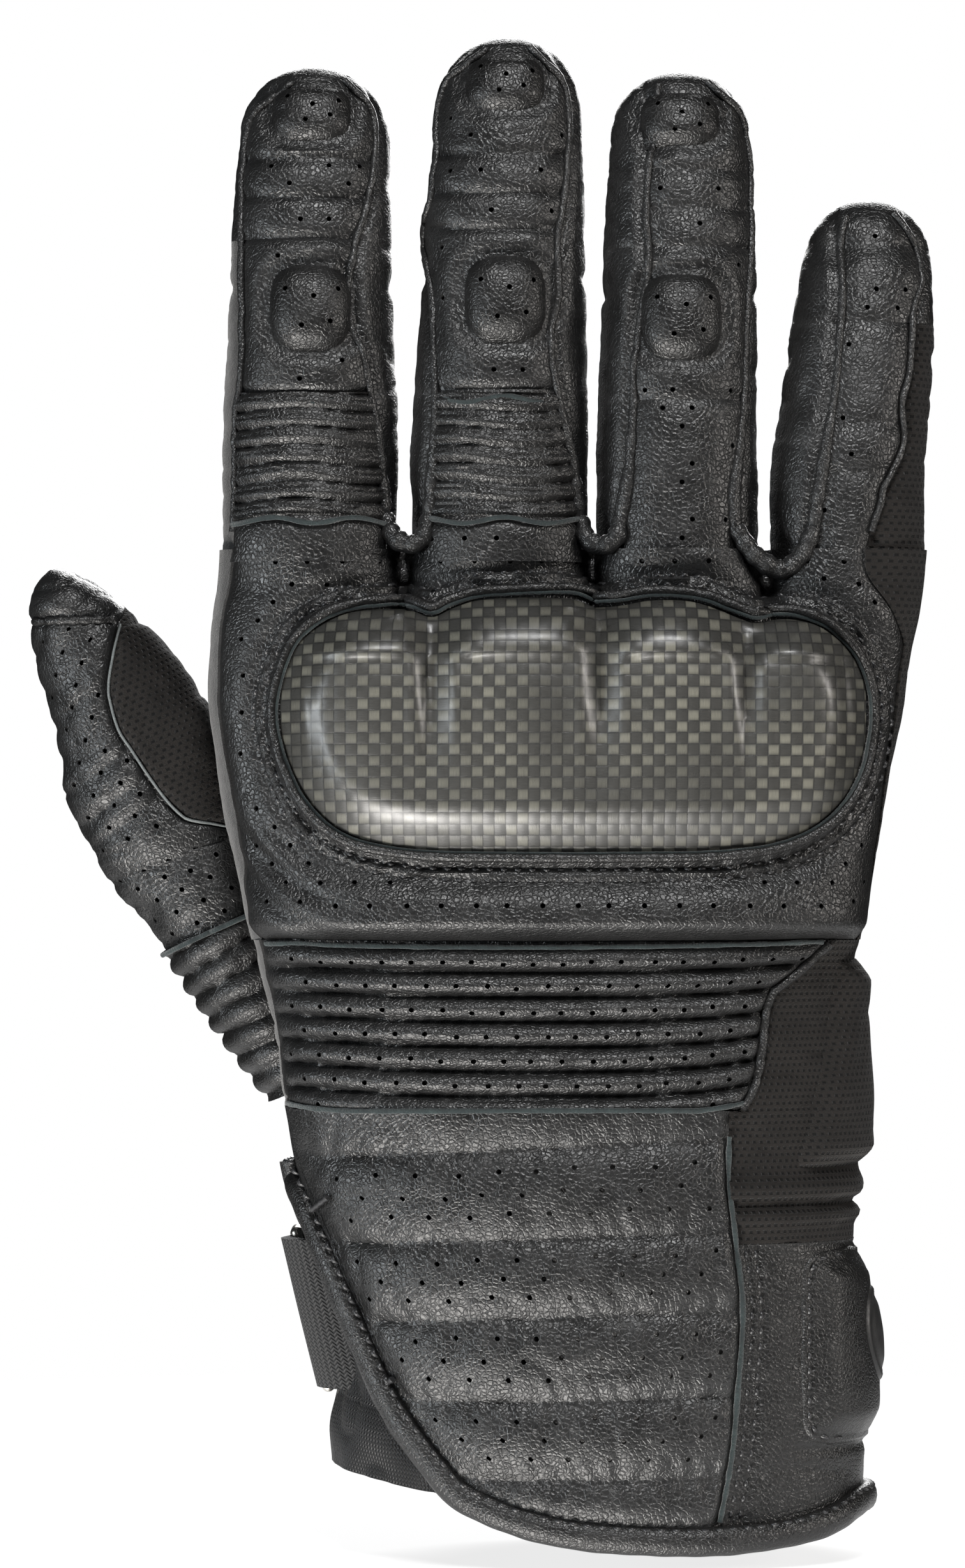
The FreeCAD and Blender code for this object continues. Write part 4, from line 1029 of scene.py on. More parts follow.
# Guard outline, as shares of the CAD shell's box: (across, up).
GUARD_LOW, GUARD_HIGH = box("knuckle_shell")
GUARD_SHAPE = (
    (0.003, 0.55), (0.02, 0.74), (0.05, 0.86), (0.12, 0.945), (0.22, 0.955), (0.262, 0.925),
    (0.30, 0.965), (0.36, 1.0), (0.49, 1.0), (0.535, 0.965), (0.58, 0.97), (0.64, 0.995),
    (0.71, 0.985), (0.785, 0.92), (0.81, 0.905), (0.87, 0.92), (0.93, 0.88), (0.978, 0.76),
    (0.999, 0.58), (0.985, 0.35), (0.945, 0.18), (0.87, 0.06), (0.76, 0.01), (0.58, 0.0),
    (0.40, 0.0), (0.24, 0.01), (0.13, 0.06), (0.065, 0.17), (0.025, 0.33),
)


def in_guard(shares):
    shares = np.asarray(shares, float)
    span = GUARD_HIGH - GUARD_LOW
    return np.stack([GUARD_LOW[0] + shares[:, 0] * span[0],
                     GUARD_LOW[2] + shares[:, 1] * span[2]], axis=1)


GUARD = spline(in_guard(GUARD_SHAPE), 1.2, closed=True)
ACCORDION_LOW, ACCORDION_HIGH = box("wrist_accordion")
RIB_COUNT = 7


def grown(line, amount):
    """A closed outline moved outwards; the outline is drawn clockwise."""
    ahead = np.roll(line, -1, axis=0) - np.roll(line, 1, axis=0)
    out = np.stack([-ahead[:, 1], ahead[:, 0]], axis=1)
    out /= np.linalg.norm(out, axis=1, keepdims=True)
    moved = line[:-1] + out[:-1] * amount
    moved = np.vstack([moved, moved[:1]])
    return moved


def by_height(*pairs):
    """x as a smooth function of z through (x, z) pairs."""
    table = np.array(sorted(pairs, key=lambda pair: pair[1]), float)
    return lambda z: steady(np.asarray(z, float), table[:, 1], table[:, 0])


def as_line(edge, low, high, count):
    """An edge given by height, as (x, z) points."""
    z = np.linspace(low, high, count)
    return np.stack([edge(z), z], axis=1)


SUEDE_EDGE = by_height((-44.6, 62), (-46.2, 76.5), (-47.9, 88), (-51.2, 106), (-54.6, 125),
                       (-57.0, 141), (-56.9, 149), (-54.8, 163), (-54.4, 170))
WRIST_SEAM = by_height((44.1, 99.6), (37.8, 94.2), (34.8, 91.9), (33.6, 88.5), (33.0, 83.7),
                       (32.0, 77.6), (30.2, 73.9), (27.7, 70.9), (27.0, 66))
HAND_MESH_EDGE = by_height((50.1, 165), (50.1, 162.5), (54.9, 154.3), (57.1, 148.3), (57.4, 143))
CUFF_SEAM = by_height((27.4, 72), (27.2, 63), (28.2, 52), (29.4, 40), (28.9, 30), (27.9, 18),
                      (25.4, 4))
QUILT_LINES = ((66.6, 0.048), (51.8, 0.033), (39.0, 0.035), (25.4, 0.022), (12.6, 0.012))
MOUTH_EDGE = np.array([(-47, 62), (-44.1, 55.7), (-39.2, 44.4), (-35.5, 35.9), (-31, 25.8),
                       (-27.3, 19.4), (-22.1, 12.7), (-18.4, 8.6), (-12.7, 5.6), (-5.7, 3.2),
                       (3.7, 1.4), (16.5, 0.6), (26.1, 0.6), (36.6, 1.4), (43.9, 3.0),
                       (50.5, 6.0)], float)


def quilted(z, lines, rise, sharp=0.45):
    """Rolls between sewn lines: 0 on a line, rise between two lines."""
    height = np.zeros(np.shape(z))
    for low, high in zip(lines[:-1], lines[1:]):
        share = (z - low) / (high - low)
        inside = (share >= 0) & (share < 1)
        roll = np.sin(np.pi * np.clip(share, 0, 1)) ** sharp
        height = np.where(inside, rise * roll, height)
    return height


def rib_lines(x):
    """Heights of the accordion's creases at each x, low to high."""
    low, high = ACCORDION_LOW[2], ACCORDION_HIGH[2]
    sag = 1.8 * (1 - ((x + 6) / 42) ** 2)
    right = smooth(20, 44, x) * 2.2
    lines = []
    for k in range(RIB_COUNT + 1):
        share = k / RIB_COUNT
        lines.append(low + (high - low) * share - sag * (1 - share * 0.7) + right * (1 - share))
    return lines


def trunk_relief(spot):
    x, z, back, palm = spot.x, spot.z, spot.back, spot.palm
    p = spot.base
    height = 0.35 * lumps(p, 14.0, 41) + 0.10 * creases(p, 4.0, 43)
    if z.min() > 99:
        height = height + hand_relief(p, x, z, back, palm)
    elif z.min() > ACCORDION_LOW[2] - 0.01:
        height = height + wrist_relief(p, x, z, back, palm)
    else:
        height = height + cuff_relief(p, x, z, back, palm)
    return height


def hand_relief(p, x, z, back, palm):
    out = beside(x, z, GUARD)
    lip = 1.5 * bell(out - 1.0, 1.0) - 0.5 * bell(out - 2.7, 0.5) - 0.5 * bell(out - 4.4, 0.6)
    lip += 0.8 * bell(out - 3.5, 0.7)
    height = back * np.where(out > -1.5, lip, -1.0)
    height += 1.1 * back * smooth(4.2, 8, out)
    roll = smooth(HAND_LOW - 0.2, HAND_LOW + 3.2, z)
    height += back * (2.9 * (1 - smooth(HAND_LOW + 3, HAND_LOW + 15, z)) * roll ** 0.5
                      - 2.0 * (1 - roll))
    corner = bell(x + 46, 14) * bell(z - 112, 13)
    height += back * 0.55 * corner * np.sin(out * 1.55 + 0.6 * np.sin(z * 0.3)) * smooth(5, 7, out)
    above = smooth(GUARD_HIGH[2], GUARD_HIGH[2] + 4, z)
    pulls = creases(p, (14, 14, 2.4), 71) * (0.45 * above + 0.12)
    puckers = np.sin(x * 1.9 + 1.3 * np.sin(z * 0.6)) * bell(out - 1.8, 1.3)
    height += back * (pulls + 0.16 * puckers)
    left = beside(x, z, SUEDE_LINE)
    height -= 0.8 * back * bell(left, 0.9)
    height += palm * (0.7 * creases(p, (12, 12, 5), 75) + 0.5 * creases(p, (5, 5, 14), 77))
    pad = rounded(x, z, HEEL, 6.0)
    height -= palm * (0.9 * bell(pad - 0.8, 0.9))
    line = beside(x, z, THUMB_SEAM)
    height -= palm * 0.8 * bell(line, 0.8)
    return height


HAND_LOW = box("hand_back_panel")[0][2]
HEEL = outline_of("palm_heel_pad", 0.0, 0.0)
SUEDE_LINE = as_line(SUEDE_EDGE, 62, 170, 60)
THUMB_SEAM = spline([(-24, 101), (-20, 112), (-20, 126), (-27, 140), (-40, 149), (-53, 151)], 1.5)


def wrist_relief(p, x, z, back, palm):
    lines = rib_lines(x)
    ribs = quilted(z, lines, 2.6, 0.62)
    pinch = 0.22 * np.sin(x * 2.3 + 2.0 * np.sin(z * 1.7)) * (1 - ribs / 2.6)
    seam = beside(x, z, WRIST_SEAM_LINE)
    on_ribs = smooth(0.3, 1.6, seam) * smooth(0, 1.4, x - SUEDE_EDGE(z))
    height = back * on_ribs * (ribs + pinch - 0.9)
    height += back * 0.25 * creases(p, (9, 9, 3), 81) * on_ribs
    height += (1 - on_ribs) * side_folds(p, z)
    height += palm * (0.9 * creases(p, (14, 14, 4), 85) - 0.3)
    return height


def side_folds(p, z):
    """Slack folds of the stretch mesh on the little-finger side."""
    roll = 1.3 * bell(z - 59.5, 2.2) + 0.9 * bell(z - 55.0, 1.3) - 0.9 * bell(z - 57.0, 0.8)
    return 0.45 * creases(p, (9, 9, 4), 83) + roll


WRIST_SEAM_LINE = as_line(WRIST_SEAM, 64, 101, 30)
CUFF_SEAM_LINE = as_line(CUFF_SEAM, 2, 72, 40)
PAD_SHAPE = box("closure_pad")
CLOSURE_TOP = box("closure_panel")[1][2]


def cuff_relief(p, x, z, back, palm):
    lines = [level + slope * x for level, slope in QUILT_LINES][::-1]
    lines = [lines[0] - 14.0, *lines, lines[-1] + 15.0]
    seam = beside(x, z, CUFF_SEAM_LINE)
    on_back = smooth(0.0, 1.6, seam)
    rolls = quilted(z, lines, 1.9, 0.5) - 0.2
    edge = smooth(2.0, 8.0, beside(x, z, MOUTH))
    rolls = rolls * edge + 0.3 * (1 - edge)
    near = np.min([np.abs(z - line) for line in lines[1:-1]], axis=0)
    pucker = 0.14 * np.sin(x * 1.75 + 1.5 * np.sin(z * 0.9 + x * 0.2)) * bell(near - 1.6, 1.7)
    cross = 0.28 * creases(p, (6, 9, 9), 91) * (1 - 0.5 * bell(near, 1.5))
    height = back * on_back * (rolls + pucker + cross)
    if z.min() > CLOSURE_TOP - 0.5:
        return height + (1 - on_back) * side_folds(p, z)
    height += back * (1 - on_back) * (0.35 * creases(p, (14, 14, 9), 93)
                                      - 0.5 * bell(seam + 2.0, 0.5) - 0.5 * bell(seam + 3.6, 0.5))
    height += palm * (0.45 * creases(p, (14, 14, 7), 95) + 0.3 * lumps(p, 20.0, 96))
    pad_gap = np.maximum(PAD_SHAPE[0][2] - z, z - PAD_SHAPE[1][2])
    right_side = smooth(PAD_SHAPE[0][0] - 2, PAD_SHAPE[0][0], x)
    height -= 0.5 * bell(pad_gap - 0.6, 0.7) * right_side * (1 - palm)
    return height


HAND_SKIN = Skin(TRUNK, trunk_relief)

# ------------------------------------------------------------------ soft pieces baked in place, and where fingers split


def bend_at_wrist(piece):
    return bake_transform(piece)


def bend_finger(piece):
    """Only bakes the transform, with no bend; part 0 lies over the knuckle, 1 the middle joint, 2
    the tip joint.
    """
    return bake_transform(piece)


def splits(finger):
    """Heights that part a finger's skin, each in a stretch that does not bend."""
    first = (finger.zones[0][1] + finger.zones[1][0]) / 2
    second = (finger.zones[1][1] + finger.zones[2][0]) / 2
    return [finger.root - 2.0, first, second, finger.top]


PART_NAMES = ("low", "middle", "tip")
CAD_PARTS = ("base", "mid", "tip")

# ------------------------------------------------------------------ finger pieces


def finger_holes(finger):
    """Punched holes on the front panel, clear of seams, quilting, pads and ribs."""
    centres = hole_lattice(4.9, 3.05, 1.6, (finger.hinges[0][0] - 16, finger.hinges[0][0] + 18,
                                            finger.root + 2, finger.top - 4),
                           (finger.hinges[1][0], finger.hinges[1][2]))
    left, right = finger.seams
    ribbed = finger.name in ("index", "middle")

    def chosen(spot):
        inside = np.minimum(-beside(spot.x, spot.z, left), beside(spot.x, spot.z, right))
        allowed = inside > 1.3
        for level in finger.quilts:
            allowed &= np.abs(spot.z - level) > 1.0
        for outline in PADS.get(finger.name, ()):
            allowed &= rounded(spot.x, spot.z, outline) > 1.8
        if ribbed:
            allowed &= (spot.z < RIB_LOW - 3.0) | (spot.z > RIB_HIGH + 1.2)
        return nearest_rows(spot, centres, allowed)

    return chosen


# The index finger has suede on its thumb side, the little finger has mesh on its outer side.
STRIPS = {"index": ("suede", SUEDE), "little": ("mesh", MESH)}


def finger_skins(finger):
    cuts = splits(finger)
    for part in range(3):
        heights = finger.heights(cuts[part], cuts[part + 1])
        left, right = (np.full(len(heights), angle) for angle in (-math.pi, math.pi))
        closed = part == 2 or finger.name not in STRIPS
        if not closed:
            cloth, finish = STRIPS[finger.name]
            if finger.name == "index":
                left = finger.form.face(x_at(finger.seams[0], heights), heights)
                right -= 0.35
                side = (right - TURN, left)
            else:
                left += 0.45 - math.pi
                right = finger.form.face(x_at(finger.seams[1], heights), heights)
                side = (right, left + TURN)
            strip = sheet(f"{finger.name}_{cloth}_{PART_NAMES[part]}", finger.skin, heights, *side,
                          finish, step=0.9, fold=0.5)
            bend_finger(strip)
        skin = sheet(f"{finger.name}_skin_{PART_NAMES[part]}", finger.skin, heights, left, right,
                     BACK, step=0.72, holes=finger_holes(finger), closed=closed,
                     fold=0.0 if closed else 0.5)
        replaced = [f"{finger.name}_{CAD_PARTS[part]}"]
        if part == 0 and finger.name == "index":
            replaced.append("finger_roots")
        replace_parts(skin, *replaced)
        bend_finger(skin)


def finger_cords(finger):
    """Rolled seams down both sides of the front panel, puckered where they are sewn."""
    cuts = splits(finger)
    for side, seam in zip(("left", "right"), finger.seams):
        for part in range(3):
            low = cuts[part] + (4.5 if part == 0 else -1.3)
            line = seam[(seam[:, 1] >= low) & (seam[:, 1] <= cuts[part + 1] + 1.3)]
            if len(line) < 4:
                continue
            line = resample(line, 0.6)
            path, normal = finger.skin.over(line, 0.25)
            pucker = 0.62 + 0.12 * np.sin(np.arange(len(line)) * 1.05) * noise(path, 2.0, 7)
            pucker += 0.10 * noise(path, 3.0, 9)
            if (finger.name, side) not in (("index", "left"), ("little", "right")):
                pucker *= 1 + 1.25 * (1 - smooth(168, 194, line[:, 1]))
            piece = cord(f"{finger.name}_seam_{side}_{PART_NAMES[part]}", path, normal, pucker,
                         BACK, flat=0.85)
            bend_finger(piece)


def pad_relief(outline, rise):
    cx, cz, half, tall = outline

    def relief(spot):
        across, up = np.abs(spot.x - cx) / half, np.abs(spot.z - cz) / tall
        share = np.clip((across ** 3.2 + up ** 3.2) ** (1 / 3.2), 0, 1)
        return rise * (1 - share ** 2.6) ** 0.6 - 0.9 + 0.12 * lumps(spot.base, 5.0, 61)

    return relief


def finger_pads(finger):
    """Domed pads over the middle joint and behind the fingertip."""
    for title, outline, part in zip(("middle_pad", "tip_pad"), PADS[finger.name], (1, 2)):
        rise = 3.9 if title == "middle_pad" else 3.3
        skin = Skin(finger.form, pad_relief(outline, rise))
        cx, cz, a, b = outline
        heights = np.linspace(cz - b - 0.3, cz + b + 0.3, int(2 * b / 0.62))
        left = finger.form.face(np.full(len(heights), cx - a - 0.3), heights)
        right = finger.form.face(np.full(len(heights), cx + a + 0.3), heights)
        marks = [(cx + u * a, cz + v * b) for u, v in
                 ((-0.5, 0.42), (0.05, 0.15), (0.6, 0.35), (-0.15, -0.5), (0.45, -0.35))]

        def holes(spot, marks=marks):
            return nearest_rows(spot, marks, np.ones(spot.x.shape, bool))

        piece = sheet(f"{finger.name}_{title}_leather", skin, heights, left, right, PLAIN,
                      step=0.62, thick=1.0, holes=holes)
        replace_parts(piece, f"{finger.name}_{title}")
        bend_finger(piece)


def stretch_panel(finger):
    """Narrow ribs over the root of the index or middle finger, with raw cut ends."""
    left, right = finger.seams
    count = 7
    pitch = (RIB_HIGH - RIB_LOW) / count

    def relief(spot):
        share = (spot.z - RIB_LOW - 0.4 * np.sin(spot.x * 0.25)) / pitch
        rib = np.abs(np.sin(np.pi * share)) ** 0.55
        uneven = 0.75 + 0.35 * noise(spot.base, (9, 9, pitch * 1.01), 17)
        split = 0.35 * bell(((share % 1) - 0.62) * pitch, 0.25)
        pinch = 0.14 * np.sin(spot.x * 3.1 + 2 * share) * (1 - rib)
        return 1.55 * rib * uneven - 0.65 + pinch - split

    skin = Skin(finger.form, relief)
    heights = np.linspace(RIB_LOW - 0.6, RIB_HIGH, 60)
    sides = [finger.form.face(x_at(line, heights) + inset, heights)
             for line, inset in ((left, 0.5), (right, -0.5))]
    piece = sheet(f"{finger.name}_ribs", skin, heights, *sides, PLAIN, step=0.6, thick=1.0)
    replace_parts(piece, f"{finger.name}_stretch_ribs")
    bend_finger(piece)
    for level, title in ((RIB_LOW - 0.4, "low"), (RIB_HIGH - 1.2, "high")):
        x = np.linspace(x_at(left, level) + 0.8, x_at(right, level) - 0.8, 40)
        line = np.stack([x, level + 0.5 * np.sin(x * 0.5)], axis=1)
        path, normal = finger.skin.over(line, 0.9 if title == "low" else 0.5)
        edge = cord(f"{finger.name}_raw_edge_{title}", path, normal,
                    0.42 + 0.08 * noise(path, 1.6, 23), RAW, flat=0.8)
        bend_finger(edge)


WEB_BOTTOMS = ((-24.9, 165.4), (6.7, 165.2), (36.4, 161.2))


def web_welt(name, first, second, bottom):
    """The rolled U between two fingers; it lies on the hand below the fingers' bend."""
    a = first.seams[1]
    b = second.seams[0]
    high = min(first.zones[0][0], second.zones[0][0]) + 4.5
    upper = [np.array([x_at(seam, high), high]) for seam in (a, b)]
    starts = [finger.skin.over(point[None], 0.3)[0][0]
              for finger, point in zip((first, second), upper)]
    x, z = bottom
    low = np.array([x, -9.2, z + 0.4])
    third = (starts[0] * 0.5 + low * 0.5) + np.array([-0.7, -0.6, -1.0])
    fourth = (starts[1] * 0.5 + low * 0.5) + np.array([0.7, -0.6, -1.0])
    path = spline([starts[0], third, low, fourth, starts[1]], 0.45)
    normal = np.tile((0.0, -1.0, 0.0), (len(path), 1))
    count = np.arange(len(path))
    radius = 1.65 + 0.13 * np.sin(count * 1.15) + 0.12 * noise(path, 1.8, 29)
    radius *= 0.80 + 0.20 * np.sin(np.pi * count / count[-1]) ** 0.5
    piece = cord(name, path, normal, radius, BACK, sides=14)
    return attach(piece, "hand")


def make_fingers():
    for finger in HANDS.values():
        finger_skins(finger)
        finger_cords(finger)
        if finger.name in PADS:
            finger_pads(finger)
        if finger.name in ("index", "middle"):
            stretch_panel(finger)
    fingers = list(HANDS.values())
    welts = [web_welt(f"web_welt_{first.name}", first, second, bottom)
             for first, second, bottom in zip(fingers, fingers[1:], WEB_BOTTOMS)]
    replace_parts(welts[0], "finger_web_welts")


# ------------------------------------------------------------------ hand pieces


def rows(low, high, step=0.78):
    return np.linspace(low, high, int(round((high - low) / step)) + 1)


def along(values, heights):
    return np.full(len(heights), float(values))


BAND_PALM = 0.35
HAND_TOP = WEB_HIGH + 0.6


def back_holes(spot):
    centres = hole_lattice(5.5, 3.1, 2.75, (-60, 62, HAND_LOW + 4, HAND_TOP), (-0.4, 116.0))
    out = beside(spot.x, spot.z, GUARD)
    allowed = (out > 5.6) & (spot.z > HAND_LOW + 3.2)
    allowed &= spot.x - SUEDE_EDGE(spot.z) > 2.2
    allowed &= HAND_MESH_EDGE(np.maximum(spot.z, 143)) - spot.x > 2.2
    for x, z in WEB_BOTTOMS:
        allowed &= np.hypot(spot.x - x, spot.z - z) > 4.0
    return nearest_rows(spot, centres, allowed)


def make_hand():
    heights = rows(HAND_LOW, HAND_TOP, 0.75)
    suede = TRUNK.face(SUEDE_EDGE(heights), heights)
    outer = np.where(heights > 142.5, TRUNK.face(HAND_MESH_EDGE(heights), heights), -0.12)
    outer = np.minimum(outer, -0.12)
    panel("hand_back_panel", "hand", "hand_back_leather", HAND_SKIN, heights, suede, outer, BACK,
          step=0.75, holes=back_holes, fold=0.5)
    panel("suede_edge_strip", "hand", "hand_suede", HAND_SKIN, heights,
          along(-math.pi - BAND_PALM, heights), suede, SUEDE, step=0.8)
    panel("ulnar_mesh_panel", "hand", "hand_side_mesh", HAND_SKIN, heights, outer,
          along(BAND_PALM, heights), MESH, step=0.9)
    panel("hand_palm_panel", "hand", "hand_palm_leather", HAND_SKIN, heights,
          along(BAND_PALM, heights), along(math.pi - BAND_PALM, heights), PALM, step=0.95,
          fold=0.5)


GUARD_BUMPS = ((0.135, 0.122), (0.40, 0.138), (0.668, 0.122), (0.888, 0.10))
GUARD_GROOVES = ((0.263, 0.34), (0.546, 0.36), (0.79, 0.38))


def guard_height(x, z, out):
    """How far the knuckle guard stands off the hand: four bumps over a smooth plate."""
    width = GUARD_HIGH[0] - GUARD_LOW[0]
    u, v = (x - GUARD_LOW[0]) / width, (z - GUARD_LOW[2]) / (GUARD_HIGH[2] - GUARD_LOW[2])
    edge = smooth(-0.4, 8.0, -out) ** 0.55
    plate = 5.3 * edge * (0.88 + 0.12 * np.sin(np.pi * np.clip(v, 0, 1)))
    bumps = np.zeros(x.shape)
    for centre, half in GUARD_BUMPS:
        bumps = np.maximum(bumps, np.clip(1 - ((u - centre) / half) ** 2, 0, 1) ** 0.6)
    ridge = 3.3 * bumps * smooth(0.12, 0.74, v) * smooth(0.0, 7.5, -out) ** 0.6
    for centre, low in GUARD_GROOVES:
        line = (u - centre - 0.02 * (1 - v)) * width
        ridge -= 1.5 * bell(line, 2.4) * smooth(low - 0.06, low + 0.34, v) * smooth(0.5, 3, -out)
    step = np.zeros(x.shape)
    for centre, half in GUARD_BUMPS:
        side = np.abs(u - centre - 0.03 * (0.8 - v)) * width / (half * 0.66 * width)
        plan = np.maximum(side, 1 + (v - 0.76) / 0.10)
        step = np.maximum(step, 1 - smooth(0.86, 1.16, plan))
    return plate + ridge - 0.95 * step * smooth(0.22, 0.62, v)


def guard_sheet(name, shrink, drop, finish, thick):
    """The guard, as columns from its lower edge to its upper edge."""
    rim = grown(GUARD, -shrink)[:-1]
    first, last = int(np.argmin(rim[:, 0])), int(np.argmax(rim[:, 0]))
    ring = np.roll(rim, -first, axis=0)
    far = (last - first) % len(rim)
    over, under = ring[:far + 1], np.vstack([ring[far:], ring[:1]])[::-1]
    turn = (1 - np.cos(np.linspace(0.02, 0.98, 150) * math.pi)) / 2
    x = rim[first, 0] + 0.25 + (rim[last, 0] - rim[first, 0] - 0.5) * turn
    high = np.interp(x, np.maximum.accumulate(over[:, 0]), over[:, 1])
    low = np.interp(x, np.maximum.accumulate(under[:, 0]), under[:, 1])
    share = (1 - np.cos(np.linspace(0, 1, 72) * math.pi)) / 2
    z = low[None, :] + (high - low)[None, :] * share[:, None]
    x = np.broadcast_to(x, z.shape)
    spot = TRUNK.spot(TRUNK.face(x, z), z)
    out = np.minimum(beside(x, z, GUARD), 0)
    height = 0.3 + guard_height(x, z, out) - drop
    for edge in (height[0], height[-1], height[:, 0], height[:, -1]):
        edge[:] = 0.3 - min(drop, 0.6)
    facing = spot.normal * 0.35 + np.array([0, -0.65, 0])
    facing /= np.linalg.norm(facing, axis=-1, keepdims=True)
    outer = (spot.base + facing * height[..., None]).reshape(-1, 3)
    inner = (spot.base + facing * np.maximum(height - thick, -0.7)[..., None]).reshape(-1, 3)
    quads = grid_faces(np.arange(len(outer)).reshape(x.shape))
    verts, faces = thicken(outer, inner, quads)
    uv = np.stack([x, z], axis=-1).reshape(-1, 2)
    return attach(build(name, verts, [faces], finish, np.vstack([uv, uv])), "hand")


def make_guard():
    shell = guard_sheet("guard_shell", 0.0, 0.0, CARBON, 1.8)
    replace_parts(shell, "knuckle_shell")
    foam = guard_sheet("guard_foam", 2.4, 2.6, FOAM, 2.0)
    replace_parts(foam, "knuckle_foam")
    for title, gap, lift, radius, finish, flat in (
            ("guard_rim", 0.75, 0.35, 0.75, PLAIN, 0.9),
            ("guard_raw_edge", 0.05, 0.75, 0.36, RAW, 0.8)):
        line = resample(grown(GUARD, gap), 0.7)
        path, normal = HAND_SKIN.over(line, lift)
        thickness = radius * (1 + 0.10 * noise(path, 2.2, 37))
        edge = cord(title, path[:-1], normal[:-1], thickness[:-1], finish, "back_leather",
                    flat=flat, closed=True)
        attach(edge, "hand")
        if title == "guard_rim":
            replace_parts(edge, "knuckle_rim")


def make_hand_thread():
    thread = Thread()
    lay = HAND_SKIN.over
    for gap in (2.7, 4.4):
        thread.run(resample(grown(GUARD, gap), 0.5), lay, pitch=2.3, gap=0.7)
    thread.run(THUMB_SEAM + np.array([0, 1.6]), lambda line, lift: lay(line, lift, palm=True))
    cx, cz, a, b = HEEL
    pad = np.array([(cx - a, cz - b), (cx + a, cz - b), (cx + a, cz + b), (cx - a, cz + b),
                    (cx - a, cz - b)])
    thread.run(pad, lambda line, lift: lay(line, lift + 1.0, palm=True))
    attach(thread.make("hand_stitches", THREAD), "hand")


def make_heel_pad():
    """A soft cushion sewn on the heel of the palm."""
    cx, cz, a, b = HEEL
    face = box("palm_heel_pad")[1][1]

    def relief(spot):
        depth = -rounded(spot.x, spot.z, HEEL, 6.0)
        seat = face - 22.0
        return seat * smooth(-0.2, 3.2, depth) ** 0.6 - 0.7 + 0.25 * creases(spot.base, 6.0, 97)

    skin = Skin(TRUNK, relief)
    heights = rows(cz - b, cz + b, 0.8)
    left = TRUNK.face(along(cx + a, heights), heights, palm=True)
    right = TRUNK.face(along(cx - a, heights), heights, palm=True)
    panel("palm_heel_pad", "hand", "heel_pad_leather", skin, heights, left, right, PALM, step=0.8)


# ------------------------------------------------------------------ wrist pieces


def wrist_holes(spot):
    lines = rib_lines(spot.x)
    centres = []
    for k in range(RIB_COUNT):
        for step in range(18):
            x = -44 + step * 4.9 + (k % 2) * 2.4
            level = (rib_lines(np.array(x))[k] + rib_lines(np.array(x))[k + 1]) / 2
            centres.append((x, float(level) - 0.3))
    inside = (spot.x > SUEDE_EDGE(spot.z) + 2) & (spot.x < WRIST_SEAM(spot.z) - 2)
    return nearest_rows(spot, centres, inside & (spot.z > lines[0] + 1) & (spot.z < lines[-1] - 1))


def make_wrist():
    low, high = ACCORDION_LOW[2], ACCORDION_HIGH[2] + 0.35
    heights = np.linspace(low, high, 56)
    suede = TRUNK.face(SUEDE_EDGE(heights), heights)
    seam = TRUNK.face(WRIST_SEAM(heights), heights)
    panel("wrist_accordion", "wrist", "wrist_ribs", HAND_SKIN, heights, suede, seam, BACK,
          step=0.75, holes=wrist_holes, fold=0.4)
    panel("wrist_edge_strip", "wrist", "wrist_suede", HAND_SKIN, heights,
          along(-math.pi - BAND_PALM, heights), suede, SUEDE, step=0.8)
    panel("ulnar_wrist_mesh", "wrist", "wrist_mesh", HAND_SKIN, heights, seam,
          along(BAND_PALM, heights), MESH, step=0.9)
    panel("wrist_palm_panel", "wrist", "wrist_palm", HAND_SKIN, heights, along(BAND_PALM, heights),
          along(math.pi - BAND_PALM, heights), PALM, step=1.0)
    line = resample(WRIST_SEAM_LINE[(WRIST_SEAM_LINE[:, 1] > low)
                                    & (WRIST_SEAM_LINE[:, 1] < high)], 0.6)
    path, normal = HAND_SKIN.over(line, 0.35)
    bend_at_wrist(cord("wrist_side_cord", path, normal, 0.75 + 0.06 * noise(path, 2.0, 3), BACK))
    for title, level, left, right in (("wrist_raw_edge_high", RIB_COUNT, -48.5, 43.0),
                                      ("wrist_raw_edge_low", 0, -44.8, 29.5)):
        x = np.linspace(left, right, 150)
        z = rib_lines(x)[level] + (0.1 if level else 1.0)
        z = np.clip(z, low + 0.05, high - 0.1)
        path, normal = HAND_SKIN.over(np.stack([x, z], axis=1), 1.15 if level else 0.5)
        bend_at_wrist(cord(title, path, normal, 0.42 + 0.12 * noise(path, 1.5, 13), RAW, flat=0.8))


# ------------------------------------------------------------------ thumb

THUMB_ORIGIN = np.array([-57.0, 12.0, 100.0])
THUMB_UP = np.array([-0.405, 0.0, 0.914])
THUMB_ACROSS = np.array([0.914, 0.0, 0.405])
THUMB_SIDES = ((-32, -2.0, 9), (-20, -5.0, 10), (-9, -7.5, 11), (2, -9.3, 12), (8, -11.2, 13),
               (14, -13.3, 13.5), (22, -14.0, 14), (33, -14.3, 14), (37, -12.8, 14),
               (45, -11.2, 12.7), (54, -9.9, 9.7), (59.3, -8.9, 6.8), (63.2, -7.4, 4.2),
               (65.9, -5.4, 2.4), (67.6, -3.4, 0.9), (68.4, -1.7, -0.7))
THUMB_TOP = THUMB_SIDES[-1][0]
THUMB_DOME = 60.0
THUMB_CAP = 58.6
CAP_SLOPE = 0.42
MESH_START, MESH_END = 15.5, 58


